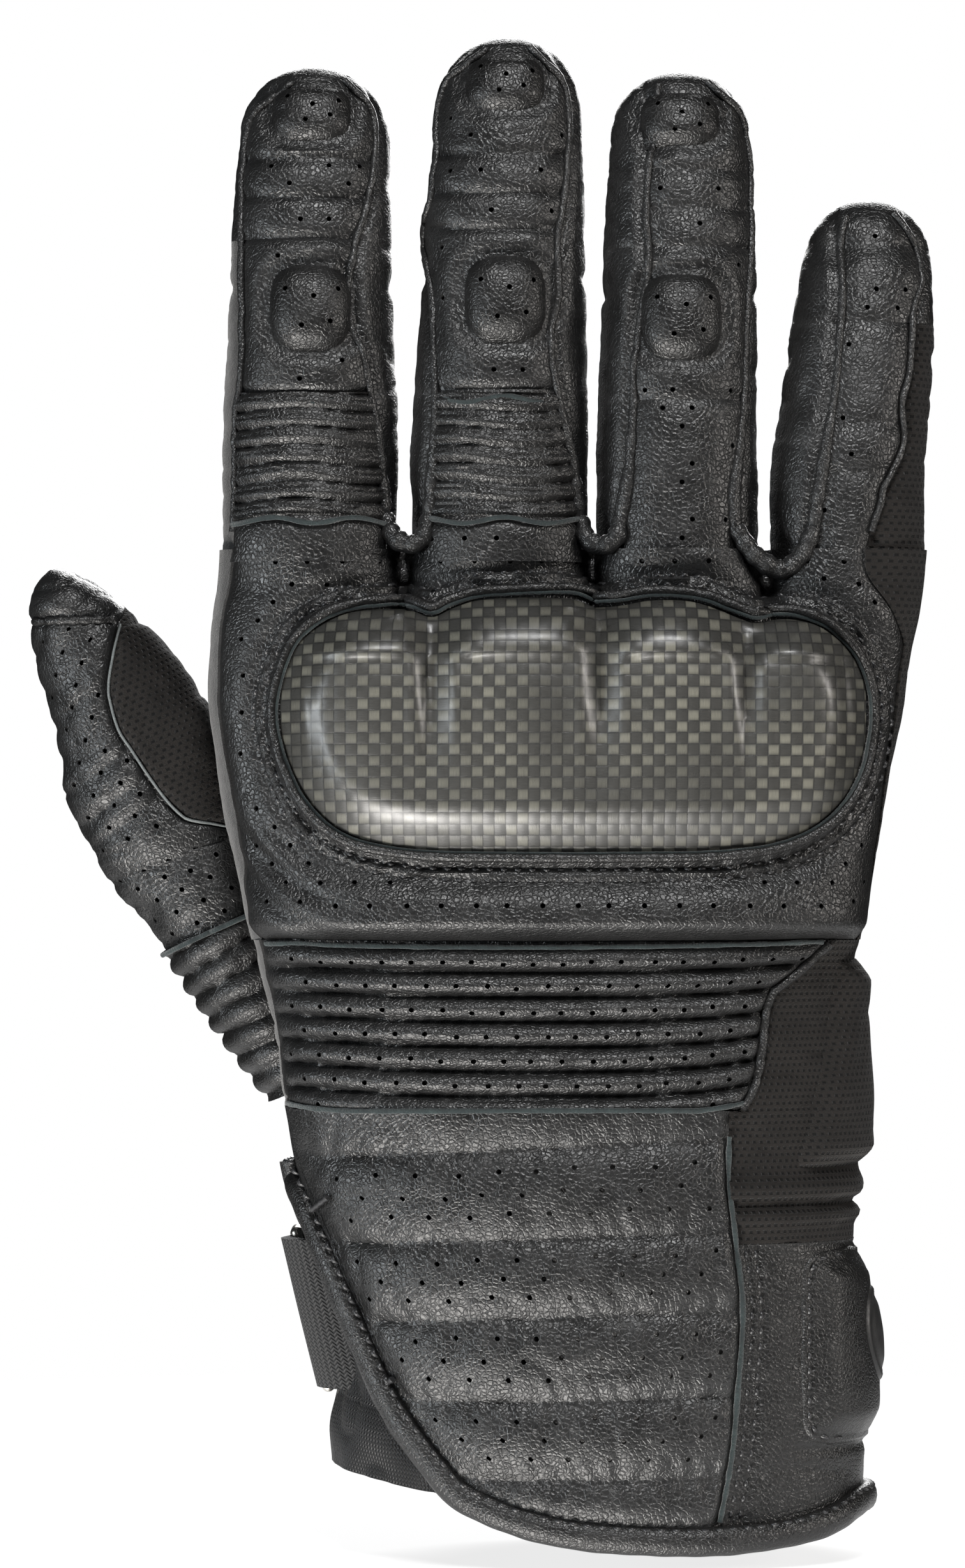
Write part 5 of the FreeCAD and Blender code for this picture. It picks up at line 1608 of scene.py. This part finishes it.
def thumb_sections():
    for s, left, right in THUMB_SIDES:
        depth = 10.8 * (1 - 0.16 * smooth(38, 60, s)) * min(1.0, (right - left) / 17 + 0.22)
        yield s, (left + right) / 2, 0.6 * smooth(30, 60, s), (right - left) / 2, depth, 2.1


def thumb_seat(points):
    return (THUMB_ORIGIN + points[..., :1] * THUMB_ACROSS + points[..., 2:] * THUMB_UP
            + points[..., 1:2] * np.array([0.0, 1.0, 0.0]))


THUMB = Form(list(thumb_sections()), middle=25.0, seat=thumb_seat)
THUMB_MESH = by_height((12.5, 15), (7.4, 18.1), (3.1, 21.1), (1.1, 26.4), (-0.5, 34.7),
                       (-1.2, 38.9), (-0.4, 44.7), (3.2, 51.1), (6.2, 55), (8.6, 58.0))


def thumb_relief(spot):
    x, s, back, palm, p = spot.x, spot.z, spot.back, spot.palm, spot.base
    edge = x - THUMB_MESH(s)
    on_mesh = smooth(-0.2, 0.2, edge) * (s > MESH_START) * (s < MESH_END) * back
    height = 0.35 * lumps(p, 12.0, 131) + 0.50 * creases(p, (16, 16, 4.5), 133) * (1 - on_mesh)
    height += 0.30 * creases(p, (5, 5, 2.4), 135)
    height -= 0.8 * bell(edge, 0.8) * back * (s > 15) * (s < MESH_END)
    height += 0.5 * (1 - on_mesh) * smooth(0, 3, -edge) * back * smooth(15, 22, s)
    cap = s - THUMB_CAP + CAP_SLOPE * x
    height -= 0.7 * bell(cap, 0.7)
    height += 0.35 * smooth(0.5, 2.5, cap)
    for hinge in (5.0, 36.0):
        for offset in (-3.0, 0.0, 3.0):
            height -= 0.6 * bell(s - hinge - offset, 0.8) * palm
    for level, deep in ((30.0, 0.6), (35.5, 0.5), (26.0, 0.45), (47.0, 0.25)):
        height -= deep * bell(s - level - 0.25 * x, 0.9) * back * (1 - on_mesh)
    return height * (1 - 0.7 * smooth(THUMB_TOP - 4, THUMB_TOP, s))


THUMB_SKIN = Skin(THUMB, thumb_relief)


def bend_thumb(piece, tip):
    if tip:
        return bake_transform(piece)
    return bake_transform(piece)


def thumb_holes(spot):
    centres = hole_lattice(4.9, 3.0, 2.45, (-14, 14, 0, 60), (0.4, 1.0))
    allowed = (spot.x < THUMB_MESH(np.clip(spot.z, 15, 58)) - 1.6) | (spot.z < 14)
    allowed &= spot.z - THUMB_CAP + CAP_SLOPE * spot.x < -1.5
    return nearest_rows(spot, centres, allowed & (spot.z > 4))


def thumb_heights(low, high):
    straight = min(high, THUMB_DOME)
    plain = np.linspace(low, straight, int((straight - low) / 0.75) + 1)
    if high <= THUMB_DOME:
        return plain
    turn = np.linspace(0, math.pi / 2, 22)[1:]
    return np.concatenate([plain, THUMB_DOME + (THUMB_TOP - THUMB_DOME) * np.sin(turn)])


def make_thumb():
    middle = 19.5
    for title, low, high, node, tip in (("low", -5.0, middle, "thumb_base", False),
                                        ("tip", middle, THUMB_TOP, "thumb_tip", True)):
        heights = thumb_heights(low, high)
        boundary = THUMB.face(THUMB_MESH(heights), heights)
        inside = (heights > MESH_START) & (heights < MESH_END)
        right = np.where(inside, boundary, 0.0)
        left = along(-math.pi - 0.25, heights)
        piece = sheet(f"thumb_back_{title}", THUMB_SKIN, heights, left, right, BACK, step=0.75,
                      holes=thumb_holes, fold=0.3)
        names = [node] if tip else [node, "thumb_root"]
        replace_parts(bend_thumb(piece, tip), *names)
        inner = heights if tip else thumb_heights(-15.0, high)
        bend_thumb(sheet(f"thumb_palm_{title}", THUMB_SKIN, inner, along(0.0, inner),
                         along(math.pi - 0.25, inner), PALM, step=0.95), tip)
        if inside.sum() > 2:
            level = heights[inside]
            mesh = sheet(f"thumb_mesh_{title}", THUMB_SKIN, level,
                         THUMB.face(THUMB_MESH(level), level), along(0.0, level), MESH, step=0.8)
            bend_thumb(mesh, tip)
            if tip:
                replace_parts(mesh, "thumb_mesh_gusset")
            line = np.stack([THUMB_MESH(level), level], axis=1)[level < 56.2]
            path, normal = THUMB_SKIN.over(resample(line, 0.6), 0.5)
            bend_thumb(cord(f"thumb_mesh_piping_{title}", path, normal, 0.24, PALE_THREAD), tip)
    x = np.linspace(-7.4, 5.4, 40)
    line = np.stack([x, THUMB_CAP - CAP_SLOPE * x], axis=1)
    path, normal = THUMB_SKIN.over(line, 0.35)
    swell = 0.7 + 0.08 * np.sin(np.arange(40))
    bend_thumb(cord("thumb_cap_welt", path, normal, swell, PLAIN), True)


HEEL_TOP = 2.2


def make_thumb_heel():
    """Ribs fanning round the thumb's heel, with a raw top edge."""

    def relief(spot):
        x, s = spot.x, spot.z
        share = (s + 27 - 0.16 * x * smooth(-20, 0, s)) / 4.15
        rib = np.abs(np.sin(np.pi * share)) ** 0.55
        pinch = 0.25 * np.sin(spot.arc * 2.6) * (1 - rib)
        return 1.7 * rib - 0.5 + pinch + 0.3 * creases(spot.base, (7, 7, 4), 141)

    skin = Skin(THUMB, relief)
    heights = rows(-28, HEEL_TOP, 0.6)
    panel("thumb_stretch_ribs", "wrist", "thumb_heel_ribs", skin, heights,
          along(-math.pi - 0.9, heights), along(-0.5, heights), PLAIN, step=0.75, thick=1.0,
          fold=0.3)
    x = np.linspace(-8.3, 10, 50)
    line = np.stack([x, np.full(50, HEEL_TOP - 0.3)], axis=1)
    path, normal = skin.over(line, 0.9)
    bend_at_wrist(cord("thumb_heel_raw_edge", path, normal, 0.42, RAW, flat=0.8))


# ------------------------------------------------------------------ cuff

BINDING_IN = 2.0


def moved_aside(line, amount):
    """An open line moved to its left."""
    ahead = np.gradient(line, axis=0)
    left = np.stack([-ahead[:, 1], ahead[:, 0]], axis=1)
    return line + left / np.linalg.norm(left, axis=1, keepdims=True) * amount


MOUTH = spline(MOUTH_EDGE, 1.0)
MOUTH_IN = moved_aside(MOUTH, BINDING_IN)
EDGE_SKIN = Skin(TRUNK, lambda spot: 0.5 + 0.25 * lumps(spot.base, 12.0, 45))
LOWEST = int(np.argmin(MOUTH_IN[:, 1]))
SLANT_TOP = 62.0
RIGHT_BAND = 0.26


def slanted_x(z):
    """x of the cuff's slanted thumb-side edge."""
    side = MOUTH_IN[:LOWEST + 1][::-1]
    return x_at(side, z)


def mouth_right(z, palm):
    """Angle where the cuff's bottom edge rises towards the little-finger side."""
    side = MOUTH_IN[LOWEST:]
    angle = TRUNK.face(x_at(side, z), z, palm)
    done = smooth(side[-1, 1] - 1.5, side[-1, 1] + 0.4, z)
    return angle * (1 - done) + RIGHT_BAND * done


def cuff_holes(spot):
    centres = []
    for low, high in zip(QUILT_LINES[1:], QUILT_LINES[:-1]):
        for k in range(17):
            x = -50 + k * 6.4 + 3.2 * (QUILT_LINES.index(low) % 2)
            a, b = low[0] + low[1] * x, high[0] + high[1] * x
            centres += [(x, a + (b - a) * 0.28), (x + 2.1, a + (b - a) * 0.52),
                        (x + 4.2, a + (b - a) * 0.78)]
    allowed = beside(spot.x, spot.z, CUFF_SEAM_LINE) > 2.5
    allowed &= beside(spot.x, spot.z, MOUTH) > 6.0
    return nearest_rows(spot, centres, allowed)


def make_cuff_panels():
    low, high = MOUTH_IN[LOWEST, 1] + 0.1, ACCORDION_LOW[2] - 0.02
    heights = rows(low, high, 0.75)
    seam = TRUNK.face(CUFF_SEAM(heights), heights)
    left = np.where(heights > SLANT_TOP, -math.pi, TRUNK.face(slanted_x(heights), heights))
    panel("cuff_back_panel", "cuff", "cuff_back_leather", HAND_SKIN, heights, left, seam, BACK,
          step=0.75, holes=cuff_holes)
    closure = heights[heights < CLOSURE_TOP + 0.4]
    panel("closure_panel", "cuff", "closure_leather", HAND_SKIN, closure,
          TRUNK.face(CUFF_SEAM(closure), closure), mouth_right(closure, False), PLAIN, step=0.8)
    upper = heights[heights > CLOSURE_TOP]
    panel("ulnar_cuff_mesh", "cuff", "cuff_side_mesh", HAND_SKIN, upper,
          TRUNK.face(CUFF_SEAM(upper), upper), along(RIGHT_BAND, upper), MESH, step=0.85)
    right = np.where(heights > SLANT_TOP, math.pi,
                     TRUNK.face(slanted_x(heights), heights, palm=True))
    panel("cuff_palm_panel", "cuff", "cuff_palm_leather", HAND_SKIN, heights,
          mouth_right(heights, True), right, PALM, step=1.0)


def mouth_loop(aside, lift):
    """The cuff's mouth as a closed run of places: back, round the side, then palm."""
    line = moved_aside(MOUTH, aside)
    back = TRUNK.face(line[:, 0], line[:, 1])
    palm = TRUNK.face(line[:, 0], line[:, 1], palm=True)
    turn_z = line[-1, 1]
    side = np.linspace(back[-1], palm[-1], 14)[1:-1]
    angle = np.concatenate([[-math.pi], back, side, palm[::-1], [math.pi]])
    z = np.concatenate([[SLANT_TOP + 1.6], line[:, 1], np.full(len(side), turn_z),
                        line[::-1, 1], [SLANT_TOP + 1.6]])
    return EDGE_SKIN.lay(angle, z, lift)


RING_ROOM, RING_TOP = 1.7, 51.0


def make_binding():
    """The rolled edge of the mouth, drawn aside where the strap's ring swings past it."""
    path, normal = mouth_loop(BINDING_IN, 0.2)
    fine = resample(np.hstack([path, normal]), 0.8)
    path, normal = fine[:, :3], fine[:, 3:]
    path[:, 0] += RING_ROOM * bell(path[:, 2] - RING_TOP, 5.5) * smooth(1.0, 5.0, path[:, 1])
    radius = 2.35 * (1 + 0.015 * np.sin(np.arange(len(path)) * 0.9) + 0.04 * noise(path, 4.0, 5))
    piece = cord("cuff_binding_roll", path, normal, radius, PLAIN, sides=16, flat=0.72)
    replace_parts(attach(piece, "cuff"), "cuff_binding")
    for title, spot_x, spot_z in (("bar_tack_high", -38.6, 57.2), ("bar_tack_low", -28.6, 27.5)):
        place = np.array([(spot_x - 1.6, spot_z - 1.2), (spot_x + 1.6, spot_z + 1.2)])
        path, normal = HAND_SKIN.over(resample(place, 0.4), 0.9)
        bars = 0.5 + 0.12 * np.sin(np.arange(len(path)) * 2.2)
        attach(cord(title, path, normal, bars, THREAD), "cuff")


def make_cuff_seams():
    line = resample(CUFF_SEAM_LINE[CUFF_SEAM_LINE[:, 1] > 5.0], 0.6)
    line = line[line[:, 1] < CLOSURE_TOP + 18]
    path, normal = HAND_SKIN.over(line, 0.6)
    edge = cord("cuff_raw_edge", path, normal, 0.46 + 0.14 * noise(path, 1.5, 7), RAW, flat=0.8)
    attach(edge, "cuff")
    thread = Thread()
    lay = HAND_SKIN.over
    for gap in (1.8, 3.4):
        thread.run(line[line[:, 1] < CLOSURE_TOP] + np.array([gap, 0]), lay, pitch=2.4)
    run = np.hstack(mouth_loop(3.9, 0.95))
    thread.run(run, lambda spots, lift: (spots[:, :3], spots[:, 3:]), pitch=2.4)
    for level, slope in QUILT_LINES:
        x = np.linspace(-45, 29, 75)
        row = np.stack([x, level + slope * x], axis=1)
        row = row[(beside(*row.T, CUFF_SEAM_LINE) > 1.2) & (beside(*row.T, MOUTH) > 5.0)]
        thread.run(row, HAND_SKIN.over, pitch=1.9, gap=0.55, radius=0.26)
    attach(thread.make("cuff_stitches", THREAD), "cuff")


# ------------------------------------------------------------------ closure, side pad, badge

RUBBER = plain("badge_rubber", (0.013, 0.013, 0.013), 0.45, 0.3, 0.03)
PAD_CORNER = 4.5
PAD_SEAM = 1.1
PAD_REACH = 0.30
BADGE_ANGLE, BADGE_TURN = -0.06, 6.6 / 47
BADGE_Z, BADGE_TALL = 34.8, 8.7


def pad_edges(spot):
    """Distance inside the stitched closure pad, which wraps round the side."""
    low, high = box("closure_pad")
    left = np.where(spot.back > 0.02, spot.x - low[0], 99)
    up = np.minimum(spot.z - low[2], high[2] - spot.z)
    short_x, short_z = np.maximum(PAD_CORNER - left, 0), np.maximum(PAD_CORNER - up, 0)
    inside = np.where((short_x > 0) & (short_z > 0), PAD_CORNER - np.hypot(short_x, short_z),
                      np.minimum(left, up))
    around = (PAD_REACH - spot.angle) * 48
    return np.minimum(inside, around)


def make_closure_pad():
    low, high = box("closure_pad")

    def relief(spot):
        inside = pad_edges(spot)
        dome = 0.9 * smooth(-0.1, 0.8, inside) ** 0.6 + 1.6 * smooth(1.0, 5.5, inside)
        groove = 0.35 * bell(inside - PAD_SEAM, 0.4)
        return dome - groove - 0.3 + 0.18 * creases(spot.base, (9, 9, 6), 151)

    skin = Skin(TRUNK, relief)
    heights = rows(low[2], high[2], 0.7)
    left = TRUNK.face(low[0] + corner_inset(heights, low[2], high[2], PAD_CORNER), heights)
    panel("closure_pad", "cuff", "closure_pad_leather", skin, heights, left,
          along(PAD_REACH, heights), PLAIN, step=0.7, thick=0.6)
    thread = Thread()
    x, bottom, top = low[0] + PAD_SEAM, low[2] + PAD_SEAM, high[2] - PAD_SEAM
    outline = [(46.6, bottom), (x + 3.4, bottom), (x + 1.0, bottom + 1.0), (x, bottom + 3.4),
               (x, top - 3.4), (x + 1.0, top - 1.0), (x + 3.4, top), (46.6, top)]
    thread.run(np.array(outline), skin.over, pitch=2.3)
    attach(thread.make("closure_stitches", THREAD), "cuff")

    def badge(spot):
        flat = (((spot.angle - BADGE_ANGLE) / BADGE_TURN) ** 2
                + ((spot.z - BADGE_Z) / BADGE_TALL) ** 2)
        rim = 1 - np.sqrt(flat)
        ridge = 0.55 * bell((rim - 0.26) * 6, 0.9)
        return 1.6 + 1.5 * smooth(0.0, 0.2, rim) + 0.4 * smooth(0.3, 1, rim) - ridge

    heights = BADGE_Z + BADGE_TALL * np.sin(np.linspace(-math.pi / 2, math.pi / 2, 36))[1:-1]
    half = BADGE_TURN * np.sqrt(np.maximum(1 - ((heights - BADGE_Z) / BADGE_TALL) ** 2, 0.01))
    panel("closure_badge", "cuff", "closure_badge_oval", Skin(TRUNK, badge), heights,
          BADGE_ANGLE - half, BADGE_ANGLE + half, RUBBER, step=0.5, thick=0.2)


def make_side_pad():
    """The padded bulge over the wrist bone, on the little-finger side."""
    low, high, reach = 63, 97, 0.34
    inner = by_height((38.5, 63), (40.1, 69.2), (42.5, 78), (44.3, 88), (46.0, 97))

    def relief(spot):
        inside = np.where(spot.back > 0.02, spot.x - inner(spot.z), 9)
        ends = np.minimum(spot.z - low, high - spot.z)
        around = (reach - spot.angle) * 46
        inside = np.minimum(np.minimum(inside, ends), around)
        dome = 3.2 * smooth(-0.2, 3.6, inside) ** 0.6
        return dome - 0.4 + 0.35 * creases(spot.base, (12, 12, 7), 161) * smooth(0, 3, inside)

    heights = rows(low, high, 0.8)
    left = TRUNK.face(inner(heights), heights)
    panel("ulnar_wrist_pad", "wrist", "wrist_side_pad", Skin(TRUNK, relief), heights, left,
          along(reach, heights), MESH, step=0.8, thick=0.6)


# ------------------------------------------------------------------ inner cuff, straps and flap


def draped(name, grid, finish, thick, inside=(0.0, 0.0, 30.0)):
    """A cloth of even thickness through a grid of points, facing away from inside."""
    grid = np.asarray(grid, float)

    def facing(points):
        normal = np.cross(np.gradient(points, axis=1), np.gradient(points, axis=0))
        return normal / np.maximum(np.linalg.norm(normal, axis=-1, keepdims=True), 1e-9)

    if np.sum(facing(grid) * (grid - np.array(inside))) < 0:
        grid = grid[:, ::-1]
    normal = facing(grid)
    outer = (grid + normal * thick / 2).reshape(-1, 3)
    inner = (grid - normal * thick / 2).reshape(-1, 3)
    across = np.linalg.norm(np.diff(grid, axis=1), axis=-1)
    up = np.linalg.norm(np.diff(grid, axis=0), axis=-1)
    u = np.concatenate([np.zeros((len(grid), 1)), np.cumsum(across, axis=1)], axis=1)
    v = np.concatenate([np.zeros((1, grid.shape[1])), np.cumsum(up, axis=0)], axis=0)
    uv = np.stack([u, v], axis=-1).reshape(-1, 2)
    quads = grid_faces(np.arange(len(outer)).reshape(grid.shape[:2]))
    verts, faces = thicken(outer, inner, quads)
    return build(name, verts, [faces], finish, np.vstack([uv, uv]))


def make_inner_cuff():
    low, high = 9.0, 60.0
    reach = by_height((-38.0, 9), (-38.4, 14.5), (-36.8, 24), (-38.2, 34), (-40.5, 48),
                      (-43.0, 60))
    heights = np.linspace(low, high, 66)
    turn = np.linspace(-1.95, 1.95, 90)
    grid = np.zeros((len(heights), len(turn), 3))
    for row, z in enumerate(heights):
        left = float(reach(z))
        depth = 17.5 + 3.0 * (z - low) / (high - low)
        grid[row, :, 0] = left + 26 * (1 - np.cos(turn))
        grid[row, :, 1] = depth * np.sin(turn)
        share = (1 + np.cos(turn)) / 2
        grid[row, :, 2] = z + 5.5 * (share ** 3) * (1 - (z - low) / (high - low)) - 1.0
    wrinkle = 0.9 * creases(grid, (6, 9, 12), 171) + 0.6 * lumps(grid, (8, 8, 16), 173)
    outward = np.stack([-np.cos(turn), np.sin(turn), np.zeros(len(turn))], axis=1)
    grid += outward[None] * wrinkle[..., None]
    piece = draped("inner_jersey", grid, JERSEY, 1.0)
    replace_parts(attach(piece, "cuff"), "inner_cuff")


def make_ring_webbing():
    """A woven tab sewn inside the back of the cuff, folded round the ring's bar."""
    left = by_height((-39.7, 25.6), (-42.8, 38), (-45.9, 51))
    grid = []
    for z in np.linspace(25.9, 50.6, 40):
        edge = float(left(z))
        plan = spline([(edge + 12, -9.0), (edge + 7.5, -8.0), (edge + 2.8, -5.6),
                       (edge + 0.1, -1.0), (edge + 0.2, 3.0), (edge + 1.8, 6.5),
                       (edge + 4.5, 7.6), (edge + 6.2, 5.2), (edge + 5.6, 1.0)], 0.6)
        plan = plan[np.linspace(0, len(plan) - 1, 44).astype(int)]
        grid.append(np.column_stack([plan, np.full(len(plan), z)]))
    piece = draped("ring_tab_webbing", grid, WEBBING, 1.5)
    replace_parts(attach(piece, "cuff"), "ring_webbing")


def on_palm(lift):
    """A skin lifted evenly off the palm side of the cuff."""

    def relief(spot):
        return lift + 0.25 * lumps(spot.base, 12.0, 181)

    return Skin(TRUNK, relief)


def palm_patch(node, body, name, left_x, right_x, low, high, lift, finish, thick):
    """A panel with rounded corners on the palm side, between two x and two heights."""
    heights = rows(low, high, 0.8)
    inset = corner_inset(heights, low, high, PATCH_CORNER)
    a = TRUNK.face(right_x - inset, heights, palm=True)
    b = TRUNK.face(left_x + inset, heights, palm=True)
    relief = on_palm(lift).relief
    under = lift - thick
    skin = Skin(lifted_form(under), lambda spot: relief(spot) - under)
    panel(node, body, name, skin, heights, a, b, finish, step=0.8, thick=ON_FORM)


PATCH_CORNER = 2.5
ON_FORM = 0.0001


def lifted_form(amount):
    """The trunk grown evenly, so a patch on it has its own underside."""
    table = TRUNK.table.copy()
    table[:, 3] += amount
    table[:, 4] += amount
    return Form(table, middle=40.0)


def make_straps():
    base = box("wrist_strap")
    palm_patch("wrist_strap", "cuff", "strap_base", base[0][0], base[1][0], 28.0, 49.0, 2.2,
               WEBBING, 2.0)
    palm_patch("strap_loop_tape", "cuff", "strap_loops", -30, -9, 31, 46, 3.0, LOOPS, 0.9)
    palm_patch("strap_hook_tape", "strap_end", "strap_hooks", -30, -9, 31, 46, 3.9, HOOKS, 0.8)
    hinge = joint_spot("strap_tail_peel")
    skin = on_palm(5.0)
    grid = []
    for z in np.linspace(28.5, 48.5, 30):
        x = np.linspace(-6.5, hinge[0] + 3.0, 30)
        flat, _ = skin.over(np.stack([x, np.full(30, z)], axis=1), 0.0, palm=True)
        end = flat[-1]
        bar = np.interp(z, (26, 50), (-39.0, -44.6))
        bend = spline([flat[-2], end, (bar + 5.8, 10.6, z), (bar + 4.6, 7.2, z),
                       (bar + 4.4, 3.6, z), (bar + 5.8, 1.6, z)], 0.8)[1:]
        bend = bend[np.linspace(1, len(bend) - 1, 22).astype(int)]
        grid.append(np.vstack([flat, bend]))
    piece = draped("strap_tail_webbing", np.array(grid), WEBBING, 1.6, inside=(-20.0, 0.0, 38.0))
    start, end = hinge + np.array([-0.6, 0, 0]), hinge + np.array([3.4, 0, 0])
    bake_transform(piece)
    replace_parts(piece, "strap_tail")
    thread = Thread()
    top = on_palm(5.85)
    for line in ([(-26, 30), (-9, 30), (-9, 47), (-26, 47), (-26, 30)],
                 [(-26, 30), (-9, 47)], [(-9, 30), (-26, 47)]):
        thread.run(np.array(line, float), lambda spots, lift: top.over(spots, lift, palm=True))
    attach(thread.make("strap_stitches", THREAD), "strap_end")


FLAP_CORNER = 9.0


def make_flap():
    low, high = box("cuff_flap")
    palm_patch("flap_loop_tape", "cuff", "flap_loops", 0, 37, 9, 44, 1.9, LOOPS, 1.4)
    palm_patch("flap_hook_tape", "flap", "flap_hooks", 0, 37, 9, 44, 2.8, HOOKS, 0.8)
    hinge = joint_spot("cuff_flap_peel")
    skin = on_palm(3.9)
    heights = np.linspace(low[2], high[2], 48)
    grid = []
    for z, inset in zip(heights, corner_inset(heights, low[2], high[2], FLAP_CORNER)):
        x = np.linspace(low[0] + inset, hinge[0] + 2.2, 56)
        flat, _ = skin.over(np.stack([x, np.full(56, z)], axis=1), 0.0, palm=True)
        grid.append(flat)
    grid = np.array(grid)
    grid[..., 1] += 0.5 * creases(grid, (9, 9, 9), 191) + 0.4 * lumps(grid, 9.0, 193)
    share = smooth(hinge[0] - 6, hinge[0] + 2.2, grid[..., 0])
    grid[..., 1] -= 2.6 * share
    piece = draped("flap_leather", grid, PLAIN, 1.8)
    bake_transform(piece)
    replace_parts(piece, "cuff_flap")
    thread = Thread()
    top = on_palm(4.9)
    line = spline([(37, 8.6), (18, 8.4), (6, 9.2), (0.6, 14), (-0.6, 26), (0.6, 39),
                   (6, 43.8), (18, 44.6), (37, 44.4)], 1.0)
    thread.run(line, lambda spots, lift: top.over(spots, lift, palm=True))
    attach(thread.make("flap_stitches", THREAD), "flap")


def make_ring():
    node = frame["nodes"]["strap_ring"]
    node.data.materials.clear()
    node.data.materials.append(STEEL)


# ------------------------------------------------------------------ stage


def make_floor():
    made = Finish("studio_floor", (0.30, 0.30, 0.30), 0.9, Specular_IOR_Level=0.05,
                  Emission_Color=(1.0, 1.0, 1.0, 1.0), Emission_Strength=0.80)
    clear = made.node("BsdfTransparent")
    reach = made.node("VectorMath", {0: made.node("NewGeometry").outputs["Position"]},
                      operation="LENGTH").outputs["Value"]
    fade = made.ramp(reach, 0.08, 0.34)
    mixed = made.node("MixShader", {0: fade, 1: made.shader.outputs[0], 2: clear.outputs[0]})
    made.tree.links.new(mixed.outputs[0], made.tree.nodes["Material Output"].inputs[0])
    bpy.ops.mesh.primitive_circle_add(vertices=96, radius=0.5, fill_type="NGON",
                                      location=(0, 0, -0.0022))
    floor = bpy.context.object
    floor.name = "studio_floor"
    floor.data.materials.append(made.material)
    floor.visible_shadow = False


# Name, place, size in metres, power in watts and tint of each light.
LIGHTS = (("key", (-0.30, -0.62, -0.62), 0.36, 18.0, (1.0, 0.97, 0.93)),
          ("top", (0.05, -0.62, 0.95), 0.36, 9.0, (1.0, 1.0, 1.0)),
          ("left", (-0.85, -0.45, 0.10), 0.36, 5.0, (0.90, 0.96, 1.0)),
          ("right", (0.90, -0.35, 0.35), 0.36, 4.4, (1.0, 0.95, 0.90)),
          ("behind", (0.1, 0.85, 0.55), 0.6, 9.0, (1.0, 1.0, 1.0)))
LIT_SPOT = Vector((-0.01, 0.0, 0.13))
CAMERA_PLACE = (-0.01302, -1.090, 0.12616)


def soft_light(name, place, size, power, tint):
    data = bpy.data.lights.new(name, "AREA")
    data.shape, data.size, data.energy, data.color = "DISK", size, power, tint
    lamp = bpy.data.objects.new(name, data)
    bpy.context.scene.collection.objects.link(lamp)
    lamp.location = place
    lamp.rotation_euler = (Vector(place) - LIT_SPOT).to_track_quat("Z", "Y").to_euler()


def make_world():
    world = bpy.data.worlds.new("studio")
    bpy.context.scene.world = world
    world.use_nodes = True
    nodes, links = world.node_tree.nodes, world.node_tree.links
    nodes["Background"].inputs[0].default_value = (1, 1, 1, 1)
    nodes["Background"].inputs[1].default_value = 0.025
    white = nodes.new("ShaderNodeBackground")
    white.inputs[0].default_value = (1, 1, 1, 1)
    white.inputs[1].default_value = 1.0
    path = nodes.new("ShaderNodeLightPath")
    mix = nodes.new("ShaderNodeMixShader")
    links.new(path.outputs["Is Camera Ray"], mix.inputs[0])
    links.new(nodes["Background"].outputs[0], mix.inputs[1])
    links.new(white.outputs[0], mix.inputs[2])
    links.new(mix.outputs[0], nodes["World Output"].inputs[0])


def make_stage():
    make_floor()
    make_world()
    for lamp in LIGHTS:
        soft_light(*lamp)
    camera = bpy.data.cameras.new("photo_camera")
    camera.lens, camera.sensor_width = 150.0, 36.0
    camera.clip_start, camera.clip_end = 0.05, 10.0
    view = bpy.data.objects.new("photo_camera", camera)
    bpy.context.scene.collection.objects.link(view)
    view.location = CAMERA_PLACE
    view.rotation_euler = (math.pi / 2, 0, 0)
    bpy.context.scene.camera = view
    bpy.context.scene.view_settings.view_transform = "Standard"


for make in (make_fingers, make_hand, make_guard, make_hand_thread, make_heel_pad, make_wrist,
             make_thumb, make_thumb_heel, make_cuff_panels, make_binding, make_cuff_seams,
             make_closure_pad, make_side_pad, make_inner_cuff, make_ring_webbing, make_straps,
             make_flap, make_ring, make_stage):
    make()
